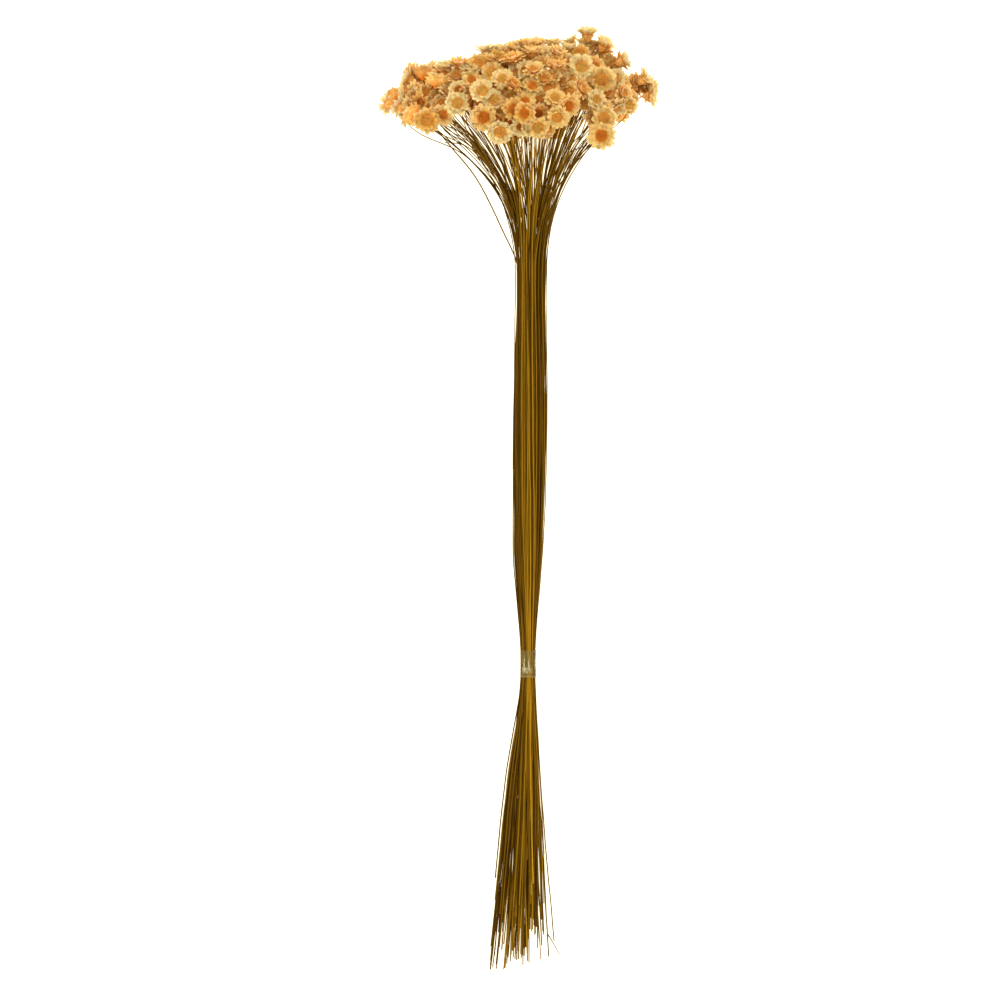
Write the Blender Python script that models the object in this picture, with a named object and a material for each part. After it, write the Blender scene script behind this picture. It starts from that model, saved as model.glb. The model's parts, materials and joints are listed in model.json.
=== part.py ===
"""Dried everlasting flowers: a bunch of long hair-thin stalks, one papery bloom on each, held by a clear
tape band and laid down on its side. Heads lie toward +Y, cut ends toward -Y, the table is Z = 0."""

import math

import bmesh
import bpy
import numpy as np
from mathutils import Matrix, Vector

MM = 0.001                 # the layout below is in millimetres, the scene in metres
SEED = 2174

# Bunch profile: (y, half width in X, half height in Z, height of the axis above the table, shift in X, twist)
PROFILE = (
    (-276.0, 18.0, 6.6, 7.6, -3.8, -14.0),
    (-226.0, 15.2, 6.0, 7.0, -4.2, -10.0),
    (-24.0, 9.2, 6.8, 9.6, 0.2, 13.0),
    (58.0, 10.2, 8.4, 17.9, 1.2, 24.0),
    (132.0, 9.7, 8.9, 26.6, 2.0, 34.0),
)
HALF_WIDTH, HALF_HEIGHT, AXIS_HEIGHT, AXIS_SHIFT, TWIST = 1, 2, 3, 4, 5

# Tie
TIE_Y = -96.2
TIE_LENGTH = 16.0
TIE_INNER = 4.2            # to the flats of the band's twelve-sided bore
TIE_WALL = 0.65
TIE_SIDES = 12
TIE_CENTRE_Z = TIE_INNER + TIE_WALL

# Stalks: nineteen strands of six, each strand joined by a six-sided plug inside the tie
STRAND_PITCH = 1.62
STRAND_RING = 0.42
STALKS_PER_STRAND = 6
PLUG_FLAT = 0.665
PLUG_HALF_LENGTH = 10.4
STALK_RADIUS = 0.39        # corner radius of the three-sided stalk: 0.6 mm across
STALK_RADIUS_TIE = 0.34
STATIONS = (-24.0, 58.0, 132.0)
FAN_SHARES = (0.30, 0.58, 0.82)
FAN_FOCUS_Y = 150.0
FAN_RISE, FAN_TAIL = 0.54, 0.24   # shares of a stalk's fan that run on along the bunch, and up to its bloom
FAN_LEAN = 0.06            # how far a stalk leans to its bloom where the fan starts
CUT_SHORTEST, CUT_LONGEST = -228.0, -276.0
CUT_BIAS = 1.5             # over 1: more short stalks than long ones
CUT_SPREAD = (0.9, 0.12)
STALK_WOBBLE = 0.2
STALK_ROUNDS = 110
STALK_SPACING = 0.98       # between the middles of stalks of two strands
CUT_SPACING = 0.9          # at the cut ends
KIN_SPACING = 0.85         # between those of one strand
STALK_BEND = 4.0           # how far a stalk may bend aside to clear another, mm
STALK_STEP = 0.6           # how far it bends in one round
ARRIVE_TURN = 0.8          # how far a stalk turns to its bloom's axis at the end
FAN_FORWARD = 0.25         # how far the start of its fan turns to +Y
FREE_SPREAD = 8.0          # how fast stalks of one strand part on their way to the cut ends
CUT_SHARE = 0.3            # how far from the cut end, as a share of the span, stalks push each other
NEAR_TIE = 0.8             # share of the span to the tie, and spacing beside the plugs
PUSH = 0.45                # share of a clash that one round takes away from each stalk
SHARE_OWN, SHARE_NEXT = 0.5, 0.35   # a bend is shared with the points before and after it
BLOOM_PUSH = 1.75          # mm a round that a stalk inside a bloom's room moves out

# Flower head: a flattened dome about this centre
HEAD = Vector((-3.0, 208.0, 37.0))
DOME_X, DOME_Y, DOME_UP, DOME_DOWN = 78.0, 60.0, 45.0, 35.5
BLOOMS = 114
STALK_GAP = 0.3            # from a stalk's end to its bloom
BLOOM_GAP = 0.16           # from a bloom to the plane midway to its neighbour
PASSING_GAP = 0.2          # from a bloom to another bloom's stalk
PASSING_SIDE = 0.8         # how far outside a bloom's rim other stalks are led
PASSING_DEPTH = 5.2        # and how far below and above its middle
FILL_DEPTH = 10.5          # of the second layer under the dome
FILL_X, FILL_Y, FILL_RISE = (-72, 62), (214, 262), 8   # where it may lie, and least height over the centre
FILL_FLAT = 0.25           # its blooms are spread out in X and Y, less in height
SPOTS_TRIED = 200          # for each bloom that isn't listed, the clearest of these is taken
LOWER_TOP, LOWER_FLAT, LOWER_END = 0.12, 1.35, 0.97   # upper limit, flattening and far end of the lower side
FACING_SPREAD = 0.2
UNLISTED_RADII = (6.3, 7.4)
GROUP_LIFT, GROUP_POWER = 3.0, 1.6   # blooms are grouped by the distance of these spots on their axes
GROUP_SWAPS, GROUP_COOLED, GROUP_HEAT = 150000, 130000, 40.0
SETTLE_ROUNDS = 200
LISTED_EASE = 0.25         # how easily a listed bloom moves aside
LISTED_REACH, OTHER_REACH = (2.0, 2.0, 10.0), 7.0     # and how far at most
CROWD_PUSH, KIN_PULL, FAR_PULL = 0.4, 0.3, 0.12
RIM_CLEAR, RIM_TILT = 2.0, 0.55      # height of a bloom's middle over the table, more where it is tilted
LONGEST_REACH = 9.5        # no bloom is wider than this from its heart
# Shares of two blooms' radii between their middles
KIN_CLOSE, KIN_TOUCH, KIN_FAR, OTHER_CLOSE = 0.62, 0.64, 0.80, 0.70

# Blooms seen from above: x, y, radius, turn in the plane (0 = +X, 90 = +Y), facing (90 = up at the viewer,
# 0 = seen from the side, below 0 = seen from behind) and how far the bloom sits below the dome's surface.
UPPER_BLOOMS = (
    (-83.6, 229.3, 6.7, 172, -55, 4), (-75.5, 228.7, 6.2, 160, -50, -6), (-71.4, 223.2, 5.6, 205, -10, 0),
    (-67.0, 224.2, 6.4, 150, -48, 0), (-59.1, 221.7, 8.0, 270, 74, 0), (-49.1, 225.2, 7.0, 270, 60, 5),
    (-41.2, 231.1, 7.4, 90, 80, 0), (-70.2, 246.3, 5.9, 150, 0, 0), (-69.6, 239.6, 5.9, 182, 10, 0),
    (-60.8, 249.8, 6.9, 90, -25, 0), (-52.9, 243.6, 7.6, 75, -32, 0), (-66.2, 232.6, 5.8, 200, 36, 4),
    (-49.8, 251.2, 6.6, 95, 20, 2), (-39.8, 254.0, 6.6, 90, 20, 2), (-41.6, 246.0, 6.2, 90, 45, 5),
    (-40.4, 239.2, 6.2, 90, 66, 2), (-32.8, 244.2, 6.2, 90, 60, 2), (-34.0, 250.6, 6.2, 90, 35, 5),
    (-26.8, 238.0, 7.4, 90, 66, 0), (-33.4, 231.6, 6.0, 0, 45, 5), (-27.6, 224.6, 8.2, 270, 70, 0),
    (-19.4, 232.4, 6.8, 90, 70, 2), (-14.6, 212.8, 7.7, 270, 66, 0), (-9.4, 227.0, 6.8, 0, 70, 0),
    (-18.2, 221.2, 6.0, 240, 50, 5), (-11.8, 235.2, 6.0, 60, 56, 4), (-22.2, 255.6, 6.9, 90, 10, 4),
    (-24.6, 261.4, 7.1, 95, 5, 6), (-13.6, 261.4, 6.4, 90, 10, 5), (-15.2, 245.8, 6.5, 90, 60, 0),
    (-6.6, 248.0, 6.2, 80, 50, 4), (-9.4, 241.0, 6.2, 45, 32, 0), (-2.4, 265.6, 7.1, 90, 5, 0),
    (12.8, 266.8, 7.1, 90, 5, 0), (1.8, 261.0, 6.9, 90, 16, 3), (-8.2, 256.2, 6.9, 100, 20, 2),
    (-6.4, 215.8, 5.9, 270, 60, 6), (5.8, 215.8, 7.2, 270, 66, 0), (0.0, 224.0, 6.9, 200, 66, 0),
    (7.6, 227.6, 6.2, 315, 56, 4), (17.0, 222.8, 7.2, 280, 60, 0), (23.4, 229.8, 7.4, 330, 55, 0),
    (14.6, 234.6, 6.2, 60, 60, 0), (14.0, 253.8, 6.7, 80, 26, 2), (10.6, 259.2, 6.4, 100, 35, 6),
    (31.0, 252.7, 7.7, 90, 75, 0), (29.2, 241.0, 7.2, 20, 32, 2), (42.8, 245.7, 8.4, 270, 66, 0),
    (46.8, 253.9, 6.2, 60, 50, 0), (40.4, 232.8, 6.4, 20, 60, 0), (43.9, 222.9, 7.4, 300, 75, 0),
    (41.6, 210.6, 8.2, 270, 75, 0), (53.2, 239.3, 6.2, 20, 45, 0), (51.4, 229.3, 5.9, 300, 45, 4),
    (58.5, 230.5, 5.6, 0, 66, 0), (67.4, 246.0, 7.0, 40, 10, 0), (70.8, 236.3, 6.8, 0, 10, 0),
    (55.2, 256.8, 6.0, 20, 5, 0), (32.8, 272.4, 7.1, 90, 5, 0), (27.4, 267.6, 5.8, 120, 0, 5),
    (37.4, 266.2, 7.6, 75, -5, 2), (45.6, 264.4, 6.7, 60, 15, 2), (23.4, 263.2, 6.6, 80, 10, 3),
    (2.8, 250.4, 6.7, 90, 46, 0), (10.0, 244.4, 6.6, 90, 50, 2), (1.2, 239.8, 6.6, 90, 60, 0),
    (-1.8, 232.2, 6.2, 90, 60, 2), (21.6, 241.2, 6.2, 120, 50, 4), (22.2, 247.4, 5.9, 90, 30, 6),
)
FILL_BLOOMS = 12             # a second layer in the gaps of the upper side
LOWER_EDGE = ((-84, 232), (-70, 228), (-60, 223), (-46, 227), (-38, 231), (-22, 221), (-10, 213), (10, 213),
              (20, 221), (34, 233), (41, 214), (48, 221), (60, 232), (75, 238))
UPPER_EDGE = ((-84, 232), (-76, 236), (-72, 246), (-60, 250), (-45, 252), (-32, 254), (-25, 261), (0, 265),
              (20, 265), (28, 266), (35, 268), (45, 263), (55, 256), (62, 248), (72, 240))
LONE_BLOOMS = (55, 56, 57)   # on stalks of their own at the right edge, clear of the others

# Bloom form: radii are shares of the bloom's radius, heights are in millimetres along its axis
PETALS = 6                 # in each of the two layers
CALYX_DEPTH = 4.3
HEART_DEPTH = 0.2
BRIDGE_DEPTH, BRIDGE_RADIUS = 1.3, 0.8
TURNS_TRIED = 8
BODY_RADIUS, BODY_DEPTH = 0.34, 1.5
DISC_RADIUS, DISC_EDGE, DISC_TOP = 0.30, 0.75, 1.45
SIDE_VIEW = 40             # blooms facing lower than this show their calyx, and get a rounder one
VALLEY_RADIUS, VALLEY_HEIGHT = 0.69, 0.85
OUTER_HEIGHT = 0.9
INNER_RADIUS, INNER_HEIGHT = 0.86, 2.3


def clear_scene():
    for obj in list(bpy.data.objects):
        bpy.data.objects.remove(obj, do_unlink=True)
    bpy.context.scene.unit_settings.scale_length = 1.0


def make_material(name, colour, roughness, alpha=1.0):
    material = bpy.data.materials.new(name)
    material.use_nodes = True
    shader = material.node_tree.nodes["Principled BSDF"]
    shader.inputs["Base Color"].default_value = (*colour, 1.0)
    shader.inputs["Roughness"].default_value = roughness
    shader.inputs["Alpha"].default_value = alpha
    material.diffuse_color = (*colour, alpha)
    return material


def along(table, y, column=1):
    """The value in one column of a table at y, linear between its rows."""
    return float(np.interp(y, [row[0] for row in table], [row[column] for row in table]))


# Blooms: where they sit, which way they face, how they group

def dome_point(x, y, below):
    side = ((x - HEAD.x) / DOME_X) ** 2 + (max(0.0, y - HEAD.y) / DOME_Y) ** 2
    return np.array((x, y, HEAD.z + DOME_UP * math.sqrt(max(0.0, 1.0 - side)) - below))


def facing_vector(turn, facing):
    t, f = math.radians(turn), math.radians(facing)
    return np.array((math.cos(f) * math.cos(t), math.cos(f) * math.sin(t), math.sin(f)))


def unit(v):
    return v / max(1e-9, float(np.linalg.norm(v)))


def inside_head(x, y):
    return along(LOWER_EDGE, x) <= y <= along(UPPER_EDGE, x)


def lower_spot(rng):
    """A random spot and its outward direction on the side and underside of the dome, flat where it lies."""
    while True:
        s = unit(rng.normal(size=3))
        s[1] = abs(s[1])
        if s[2] > LOWER_TOP:
            continue
        depth = DOME_UP * s[2] if s[2] > 0 else DOME_DOWN * max(-1.0, LOWER_FLAT * s[2])
        p = np.array((HEAD.x + DOME_X * s[0], HEAD.y + DOME_Y * LOWER_END * s[1], HEAD.z + depth))
        if inside_head(p[0], p[1]):
            return p, unit(s / np.array((DOME_X, DOME_Y, DOME_DOWN)))


def fill_spot(rng):
    """A random spot one layer under the upper side."""
    while True:
        x, y = rng.uniform(*FILL_X), rng.uniform(*FILL_Y)
        p = dome_point(x, y, FILL_DEPTH)
        if inside_head(x, y) and p[2] > HEAD.z + FILL_RISE:
            return p, unit(np.array((0.012 * (x - HEAD.x), 0.45, 1.0)))


def lay_out_blooms(rng):
    """Centres, facings and radii of all blooms: the upper ones as listed, the rest spread evenly."""
    centres = [dome_point(x, y, below) for x, y, _, _, _, below in UPPER_BLOOMS]
    facings = [facing_vector(turn, facing) for _, _, _, turn, facing, _ in UPPER_BLOOMS]
    radii = [row[2] for row in UPPER_BLOOMS]
    while len(centres) < BLOOMS:
        fill = len(centres) < len(UPPER_BLOOMS) + FILL_BLOOMS
        weight = np.array((1.0, 1.0, FILL_FLAT if fill else 1.0))
        best, best_gap = None, -1.0
        for _ in range(SPOTS_TRIED):
            spot = fill_spot(rng) if fill else lower_spot(rng)
            gap = float(np.linalg.norm((np.array(centres) - spot[0]) * weight, axis=1).min())
            if gap > best_gap:
                best, best_gap = spot, gap
        centres.append(best[0])
        facings.append(unit(best[1] + FACING_SPREAD * rng.normal(size=3)))
        radii.append(float(rng.uniform(*UNLISTED_RADII)))
    return np.array(centres), np.array(facings), np.array(radii)


def group_blooms(centres, facings, rng):
    """Threes of neighbouring blooms, found by swapping members while the groups get tighter."""
    spots = centres + GROUP_LIFT * facings
    rest = [i for i in range(len(centres)) if i not in LONE_BLOOMS]
    rest.sort(key=lambda i: (round(math.atan2(spots[i][2] - HEAD.z, spots[i][0] - HEAD.x), 1), spots[i][1]))
    groups = [rest[k:k + 3] for k in range(0, len(rest), 3)]
    apart = np.linalg.norm(spots[:, None] - spots[None], axis=2) ** GROUP_POWER

    def cost(members):
        return sum(apart[a, b] for n, a in enumerate(members) for b in members[n + 1:])

    for step in range(GROUP_SWAPS):
        g, h = (int(k) for k in rng.integers(len(groups), size=2))
        if g == h:
            continue
        a, b = int(rng.integers(3)), int(rng.integers(3))
        first, second = list(groups[g]), list(groups[h])
        first[a], second[b] = second[b], first[a]
        change = cost(first) + cost(second) - cost(groups[g]) - cost(groups[h])
        heat = GROUP_HEAT * (1.0 - step / GROUP_COOLED)
        if change < -1e-9 or (heat > 0 and rng.random() < math.exp(-change / max(heat, 0.1))):
            groups[g], groups[h] = first, second
    return groups + [[i] for i in LONE_BLOOMS]


def settle_blooms(centres, facings, radii, groups):
    """Pushes crowded blooms apart, mostly in depth for the listed ones, and draws each group together."""
    group_of = np.empty(len(centres), int)
    for g, members in enumerate(groups):
        group_of[members] = g
    ease = np.ones((len(centres), 3))
    ease[:len(UPPER_BLOOMS), :2] = LISTED_EASE
    home = centres.copy()
    reach = np.full((len(centres), 3), OTHER_REACH)
    reach[:len(UPPER_BLOOMS)] = LISTED_REACH
    for _ in range(SETTLE_ROUNDS):
        shift = np.zeros_like(centres)
        for i in range(len(centres)):
            away = centres[i] - centres
            gap = np.linalg.norm(away, axis=1)
            gap[i] = 1e9
            same = group_of == group_of[i]
            need = np.where(same, KIN_CLOSE, OTHER_CLOSE) * (radii[i] + radii)
            close = gap < need
            push = (need - gap)[close, None] * away[close] / gap[close, None]
            shift[i] += CROWD_PUSH * push.sum(axis=0)
            others = [j for j in groups[group_of[i]] if j != i]
            if others:
                j = min(others, key=lambda k: gap[k])
                slack = gap[j] - KIN_TOUCH * (radii[i] + radii[j])
                if slack > 0:
                    shift[i] -= KIN_PULL * slack * away[j] / gap[j]
                far = max(others, key=lambda k: gap[k])
                slack = gap[far] - KIN_FAR * (radii[i] + radii[far])
                if slack > 0:
                    shift[i] -= FAR_PULL * slack * away[far] / gap[far]
        centres = home + np.clip(centres + shift * ease - home, -reach, reach)
        tilt = np.sqrt(1 - facings[:, 2] ** 2)
        centres[:, 2] = np.maximum(centres[:, 2], RIM_CLEAR + RIM_TILT * radii * tilt)
    return centres


# Stalks

BUNDLE_REACH = 2.42        # from the middle to the outermost stalk, in strand pitches


def strand_spots():
    """Centres of the nineteen strands in units of their pitch: one, six round it, twelve round those."""
    spots = [(0.0, 0.0)]
    for a in range(-2, 3):
        for b in range(-2, 3):
            if (a, b) != (0, 0) and abs(a + b) <= 2:
                spots.append((a + 0.5 * b, b * math.sqrt(3) / 2))
    return sorted(spots, key=lambda s: (round(math.hypot(*s), 3), math.atan2(s[1], s[0])))


def stalk_spots():
    """(strand, x, z, place in it) of every stalk, evenly spaced, in units of the strand pitch."""
    ring = 1.0 / (1.0 + math.sqrt(3.0))
    spots = []
    for k, (x, z) in enumerate(strand_spots()):
        for n in range(STALKS_PER_STRAND):
            a = math.radians(30 + 60 * n)
            spots.append((k, x + ring * math.cos(a), z + ring * math.sin(a), n))
    return spots


def assign_blooms(centres, spots):
    """The bloom of each stalk, such that stalks fan out without crossing over one another."""
    flat = np.array([((c[0] - HEAD.x) / DOME_X, (c[2] - HEAD.z) / (DOME_UP if c[2] > HEAD.z else DOME_DOWN))
                     for c in centres])
    polar = np.array([math.atan2(DOME_Y * math.hypot(*f), c[1] - FAN_FOCUS_Y) for f, c in zip(flat, centres)])
    order = np.argsort(np.argsort(polar))
    radius = np.sqrt((order + 0.5) / len(centres))
    target = flat / np.linalg.norm(flat, axis=1)[:, None] * radius[:, None]
    place = np.array([(x, z) for _, x, z, _ in spots]) / BUNDLE_REACH
    bloom_of = np.arange(len(spots))
    for _ in range(60):
        changed = False
        for i in range(len(spots)):
            t = target[bloom_of]
            gain = ((place[i] - place) * (t[i] - t)).sum(axis=1)
            j = int(np.argmin(gain))
            if gain[j] < -1e-9:
                bloom_of[i], bloom_of[j] = bloom_of[j], bloom_of[i]
                changed = True
        if not changed:
            break
    return bloom_of


def bundle_point(spot, y, wobble):
    """Where a stalk crosses the plane y, outside the tie and below the fan."""
    _, x, z, _ = spot
    turn = math.radians(along(PROFILE, y, TWIST))
    x, z = x * math.cos(turn) - z * math.sin(turn), x * math.sin(turn) + z * math.cos(turn)
    half_x = (along(PROFILE, y, HALF_WIDTH) - STALK_RADIUS) / BUNDLE_REACH
    half_z = (along(PROFILE, y, HALF_HEIGHT) - STALK_RADIUS) / BUNDLE_REACH
    return np.array((along(PROFILE, y, AXIS_SHIFT) + half_x * x + wobble[0], y,
                     along(PROFILE, y, AXIS_HEIGHT) + half_z * z + wobble[1]))


def tie_point(spot, y):
    """Where a stalk leaves its strand's plug."""
    k, _, _, n = spot
    x, z = strand_spots()[k]
    a = math.radians(30 + 60 * n)
    return np.array((STRAND_PITCH * x + STRAND_RING * math.cos(a), y,
                     TIE_CENTRE_Z + STRAND_PITCH * z + STRAND_RING * math.sin(a)))


def stalk_paths(centres, facings, spots, bloom_of, rng):
    """The polyline of each stalk from its cut end to just behind its bloom."""
    paths = []
    for spot, bloom in zip(spots, bloom_of):
        cut = CUT_SHORTEST + (CUT_LONGEST - CUT_SHORTEST) * rng.random() ** CUT_BIAS
        points = [bundle_point(spot, cut, rng.normal(size=2) * CUT_SPREAD)]
        points += [tie_point(spot, TIE_Y + side * PLUG_HALF_LENGTH) for side in (-1, 1)]
        points += [bundle_point(spot, y, rng.normal(size=2) * STALK_WOBBLE) for y in STATIONS]
        start = points[-1]
        end = centres[bloom] - facings[bloom] * (CALYX_DEPTH + STALK_GAP)
        reach = float(np.linalg.norm(end - start))
        straight = (end - start) / reach
        arrive = unit(straight + ARRIVE_TURN * facings[bloom])
        forward = unit(start - points[-2]) + np.array((0.0, FAN_FORWARD, 0.0))
        leave = unit(forward + FAN_LEAN * straight)
        lift, tail = start + leave * reach * FAN_RISE, end - arrive * reach * FAN_TAIL
        for t in FAN_SHARES + (1.0,):
            s = 1.0 - t
            points.append(s ** 3 * start + 3 * s * s * t * lift + 3 * s * t * t * tail + t ** 3 * end)
        paths.append(points)
    return np.array(paths)


def closest_between(p, q, r, s):
    """Nearest parameters of segments p-q and r-s, as arrays."""
    d1, d2, w = q - p, s - r, p - r
    a, e, f = (d1 * d1).sum(-1), (d2 * d2).sum(-1), (d2 * w).sum(-1)
    c, b = (d1 * w).sum(-1), (d1 * d2).sum(-1)
    bottom = np.maximum(a * e - b * b, 1e-9)
    t = np.clip((b * f - c * e) / bottom, 0, 1)
    u = np.clip((b * t + f) / np.maximum(e, 1e-9), 0, 1)
    t = np.clip((b * u - c) / np.maximum(a, 1e-9), 0, 1)
    return t, u


def stalk_pushes(paths, pairs, kin):
    """How far the points of close stalks are pushed apart."""
    shift = np.zeros_like(paths)
    last = paths.shape[1] - 1
    spans = [(0, 0)] + [(m, n) for m in range(2, last) for n in range(max(2, m - 2), min(last, m + 3))]
    for m, n in spans:
        p, q = paths[pairs[:, 0], m], paths[pairs[:, 0], m + 1]
        r, s = paths[pairs[:, 1], n], paths[pairs[:, 1], n + 1]
        halves = 0.5 * (np.linalg.norm(q - p, axis=1) + np.linalg.norm(s - r, axis=1))
        near = np.linalg.norm(0.5 * (p + q - r - s), axis=1) < halves + STALK_SPACING
        p, q, r, s, which, family = p[near], q[near], r[near], s[near], pairs[near], kin[near]
        t, u = closest_between(p, q, r, s)
        away = p + (q - p) * t[:, None] - r - (s - r) * u[:, None]
        gap = np.linalg.norm(away, axis=1)
        if m == 0:
            leaving = np.minimum(STRAND_RING + FREE_SPREAD * (1.0 - np.minimum(t, u)), CUT_SPACING)
            apart = np.where(np.minimum(t, u) < NEAR_TIE, CUT_SPACING, 0.0)
            wanted = np.where(family, leaving, apart)
        elif m > 2 and n > 2:
            wanted = np.where(family, KIN_SPACING, STALK_SPACING)
        else:
            wanted = np.where(family, 0.0, NEAR_TIE)
        hit = gap < wanted
        push = (PUSH * (wanted - gap) / np.maximum(gap, 1e-6))[hit, None] * away[hit]
        t, u, which = t[hit], u[hit], which[hit]
        if m == 0:
            t, u = np.minimum(t, CUT_SHARE), np.minimum(u, CUT_SHARE)
        np.add.at(shift, (which[:, 0], m), push * (1 - t)[:, None])
        np.add.at(shift, (which[:, 0], m + 1), push * t[:, None])
        np.add.at(shift, (which[:, 1], n), -push * (1 - u)[:, None])
        np.add.at(shift, (which[:, 1], n + 1), -push * u[:, None])
    return shift


def bloom_pushes(paths, centres, facings, radii, bloom_of):
    """How far stalks are pushed out of the egg-shaped room round each bloom that isn't theirs."""
    shift = np.zeros_like(paths)
    last = paths.shape[1] - 1
    for b, (centre, facing, radius) in enumerate(zip(centres, facings, radii)):
        hub = centre - facing * BRIDGE_DEPTH
        long, wide = 1.0 / PASSING_DEPTH ** 2, 1.0 / (radius + PASSING_SIDE) ** 2
        for m in range(last - 4, last):
            p, q = paths[:, m], paths[:, m + 1]
            d = q - p
            t = np.clip(((hub - p) * d).sum(1) / np.maximum((d * d).sum(1), 1e-9), 0, 1)
            away = p + d * t[:, None] - hub
            axial = away @ facing
            side = away - axial[:, None] * facing
            size = np.sqrt(long * axial ** 2 + wide * (side * side).sum(1))
            hit = (size < 1.0) & (bloom_of != b)
            out = long * axial[:, None] * facing + wide * side
            out /= np.maximum(np.linalg.norm(out, axis=1), 1e-9)[:, None]
            push = BLOOM_PUSH * (1 - size)[hit, None] * out[hit]
            shift[hit, m] += push * (1 - t[hit])[:, None]
            shift[hit, m + 1] += push * t[hit][:, None]
    return shift


def settle_stalks(paths, spots, centres, facings, radii, bloom_of):
    """Bends stalks clear of each other and of the blooms that aren't theirs."""
    strand = np.array([spot[0] for spot in spots])
    pairs = np.array([(i, j) for i in range(len(paths)) for j in range(i + 1, len(paths))])
    kin = strand[pairs[:, 0]] == strand[pairs[:, 1]]
    home = paths.copy()
    for _ in range(STALK_ROUNDS):
        shift = stalk_pushes(paths, pairs, kin)
        shift += bloom_pushes(paths, centres, facings, radii, bloom_of)
        shift[:, 1:-1] = SHARE_OWN * shift[:, 1:-1] + SHARE_NEXT * (shift[:, :-2] + shift[:, 2:])
        shift[:, 1:3] = 0
        shift[:, -1] = 0
        bend = paths + np.clip(shift, -STALK_STEP, STALK_STEP) - home
        paths = home + np.clip(bend, -STALK_BEND, STALK_BEND)
        paths[:, 3:, 2] = np.maximum(paths[:, 3:, 2], 2 * STALK_RADIUS)
        paths[:, 0, 2] = np.maximum(paths[:, 0, 2], STALK_RADIUS)
    return paths


# Meshes

def mesh_from(points, faces, name):
    mesh = bpy.data.meshes.new(name)
    mesh.from_pydata([tuple(float(v) * MM for v in p) for p in points], [], faces)
    mesh.update()
    return mesh


def frame_of(direction, turn):
    """Two unit vectors across a direction, turned about it."""
    side = np.array((1.0, 0.0, 0.0)) if abs(direction[0]) < 0.8 else np.array((0.0, 0.0, 1.0))
    u = unit(np.cross(direction, side))
    v = np.cross(direction, u)
    return u * math.cos(turn) + v * math.sin(turn), -u * math.sin(turn) + v * math.cos(turn)


def bloom_points(centre, facing, radius, turn, walls, bodied):
    """A star of two layers of petals about a raised disc, on a cone, kept inside its neighbours' walls."""
    u, v = frame_of(facing, turn)

    def at(share, height, angle):
        return centre + facing * height + radius * share * (u * math.cos(angle) + v * math.sin(angle))

    step = 2 * math.pi / PETALS
    points = [centre + facing * DISC_TOP]
    points += [at(DISC_RADIUS, DISC_EDGE, k * step) for k in range(PETALS)]
    for k in range(PETALS):
        points.append(at(1.0, OUTER_HEIGHT, k * step))
        points.append(at(VALLEY_RADIUS, VALLEY_HEIGHT, (k + 0.27) * step))
        points.append(at(INNER_RADIUS, INNER_HEIGHT, (k + 0.5) * step))
        points.append(at(VALLEY_RADIUS, VALLEY_HEIGHT, (k + 0.73) * step))
    if bodied:
        points += [at(BODY_RADIUS, -BODY_DEPTH, k * step) for k in range(PETALS)]
    points.append(centre - facing * CALYX_DEPTH)
    heart = centre - facing * HEART_DEPTH
    kept = []
    for p in points:
        share = 1.0
        for normal, offset in walls:
            start, end = float(normal @ heart), float(normal @ p)
            if end > offset:
                share = min(share, (offset - start) / (end - start))
        kept.append(heart + share * (p - heart))
    return kept


def bloom_faces(bodied):
    n = PETALS
    disc, rim, body = 1, 1 + n, 1 + 5 * n
    tip = 1 + 6 * n if bodied else body
    faces = []
    for k in range(n):
        a, b = disc + k, disc + (k + 1) % n
        r = [rim + 4 * k + j for j in range(4)] + [rim + 4 * ((k + 1) % n)]
        faces += [(0, a, b)]
        faces += [(a, r[0], r[1]), (a, r[1], r[2]), (a, r[2], b), (b, r[2], r[3]), (b, r[3], r[4])]
        if bodied:
            c, d = body + k, body + (k + 1) % n
            faces += [(c, r[1], r[0]), (c, r[2], r[1]), (c, d, r[2]), (d, r[3], r[2]), (d, r[4], r[3])]
            faces += [(tip, d, c)]
        else:
            faces += [(tip, r[j + 1], r[j]) for j in range(4)]
    return faces


def walls_of(i, centres, facings, group_of, paths, bloom_of):
    """The table, planes midway to near blooms of other groups, and planes beside other blooms' stalks."""
    walls = [(np.array((0.0, 0.0, -1.0)), 0.0)]
    for j in range(len(centres)):
        away = centres[j] - centres[i]
        gap = float(np.linalg.norm(away))
        if group_of[j] != group_of[i] and gap < 2 * LONGEST_REACH:
            normal = away / gap
            walls.append((normal, float(normal @ centres[i]) + gap / 2 - BLOOM_GAP))
    heart = centres[i] - facings[i] * HEART_DEPTH
    p, q = paths[bloom_of != i, 3:-1], paths[bloom_of != i, 4:]
    d = q - p
    t = np.clip(((heart - p) * d).sum(2) / np.maximum((d * d).sum(2), 1e-9), 0, 1)
    away = p + d * t[..., None] - heart
    gap = np.linalg.norm(away, axis=2)
    for k, m in np.argwhere(gap < LONGEST_REACH):
        normal = away[k, m] / gap[k, m]
        walls.append((normal, float(normal @ heart) + gap[k, m] - STALK_RADIUS - PASSING_GAP))
    return walls


def tube(points, radius):
    """Three-sided bar along a polyline, closed at both ends."""
    rings, faces = [], []
    for n, p in enumerate(points):
        before = points[max(0, n - 1)]
        after = points[min(len(points) - 1, n + 1)]
        u, v = frame_of(unit(after - before), 0.0)
        for k in range(3):
            a = 2 * math.pi * k / 3
            rings.append(p + radius * (u * math.cos(a) + v * math.sin(a)))
    for n in range(len(points) - 1):
        for k in range(3):
            a, b = 3 * n + k, 3 * n + (k + 1) % 3
            faces += [(a, b, b + 3), (a, b + 3, a + 3)]
    last = 3 * (len(points) - 1)
    faces += [(0, 2, 1), (last, last + 1, last + 2)]
    return rings, faces


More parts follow.
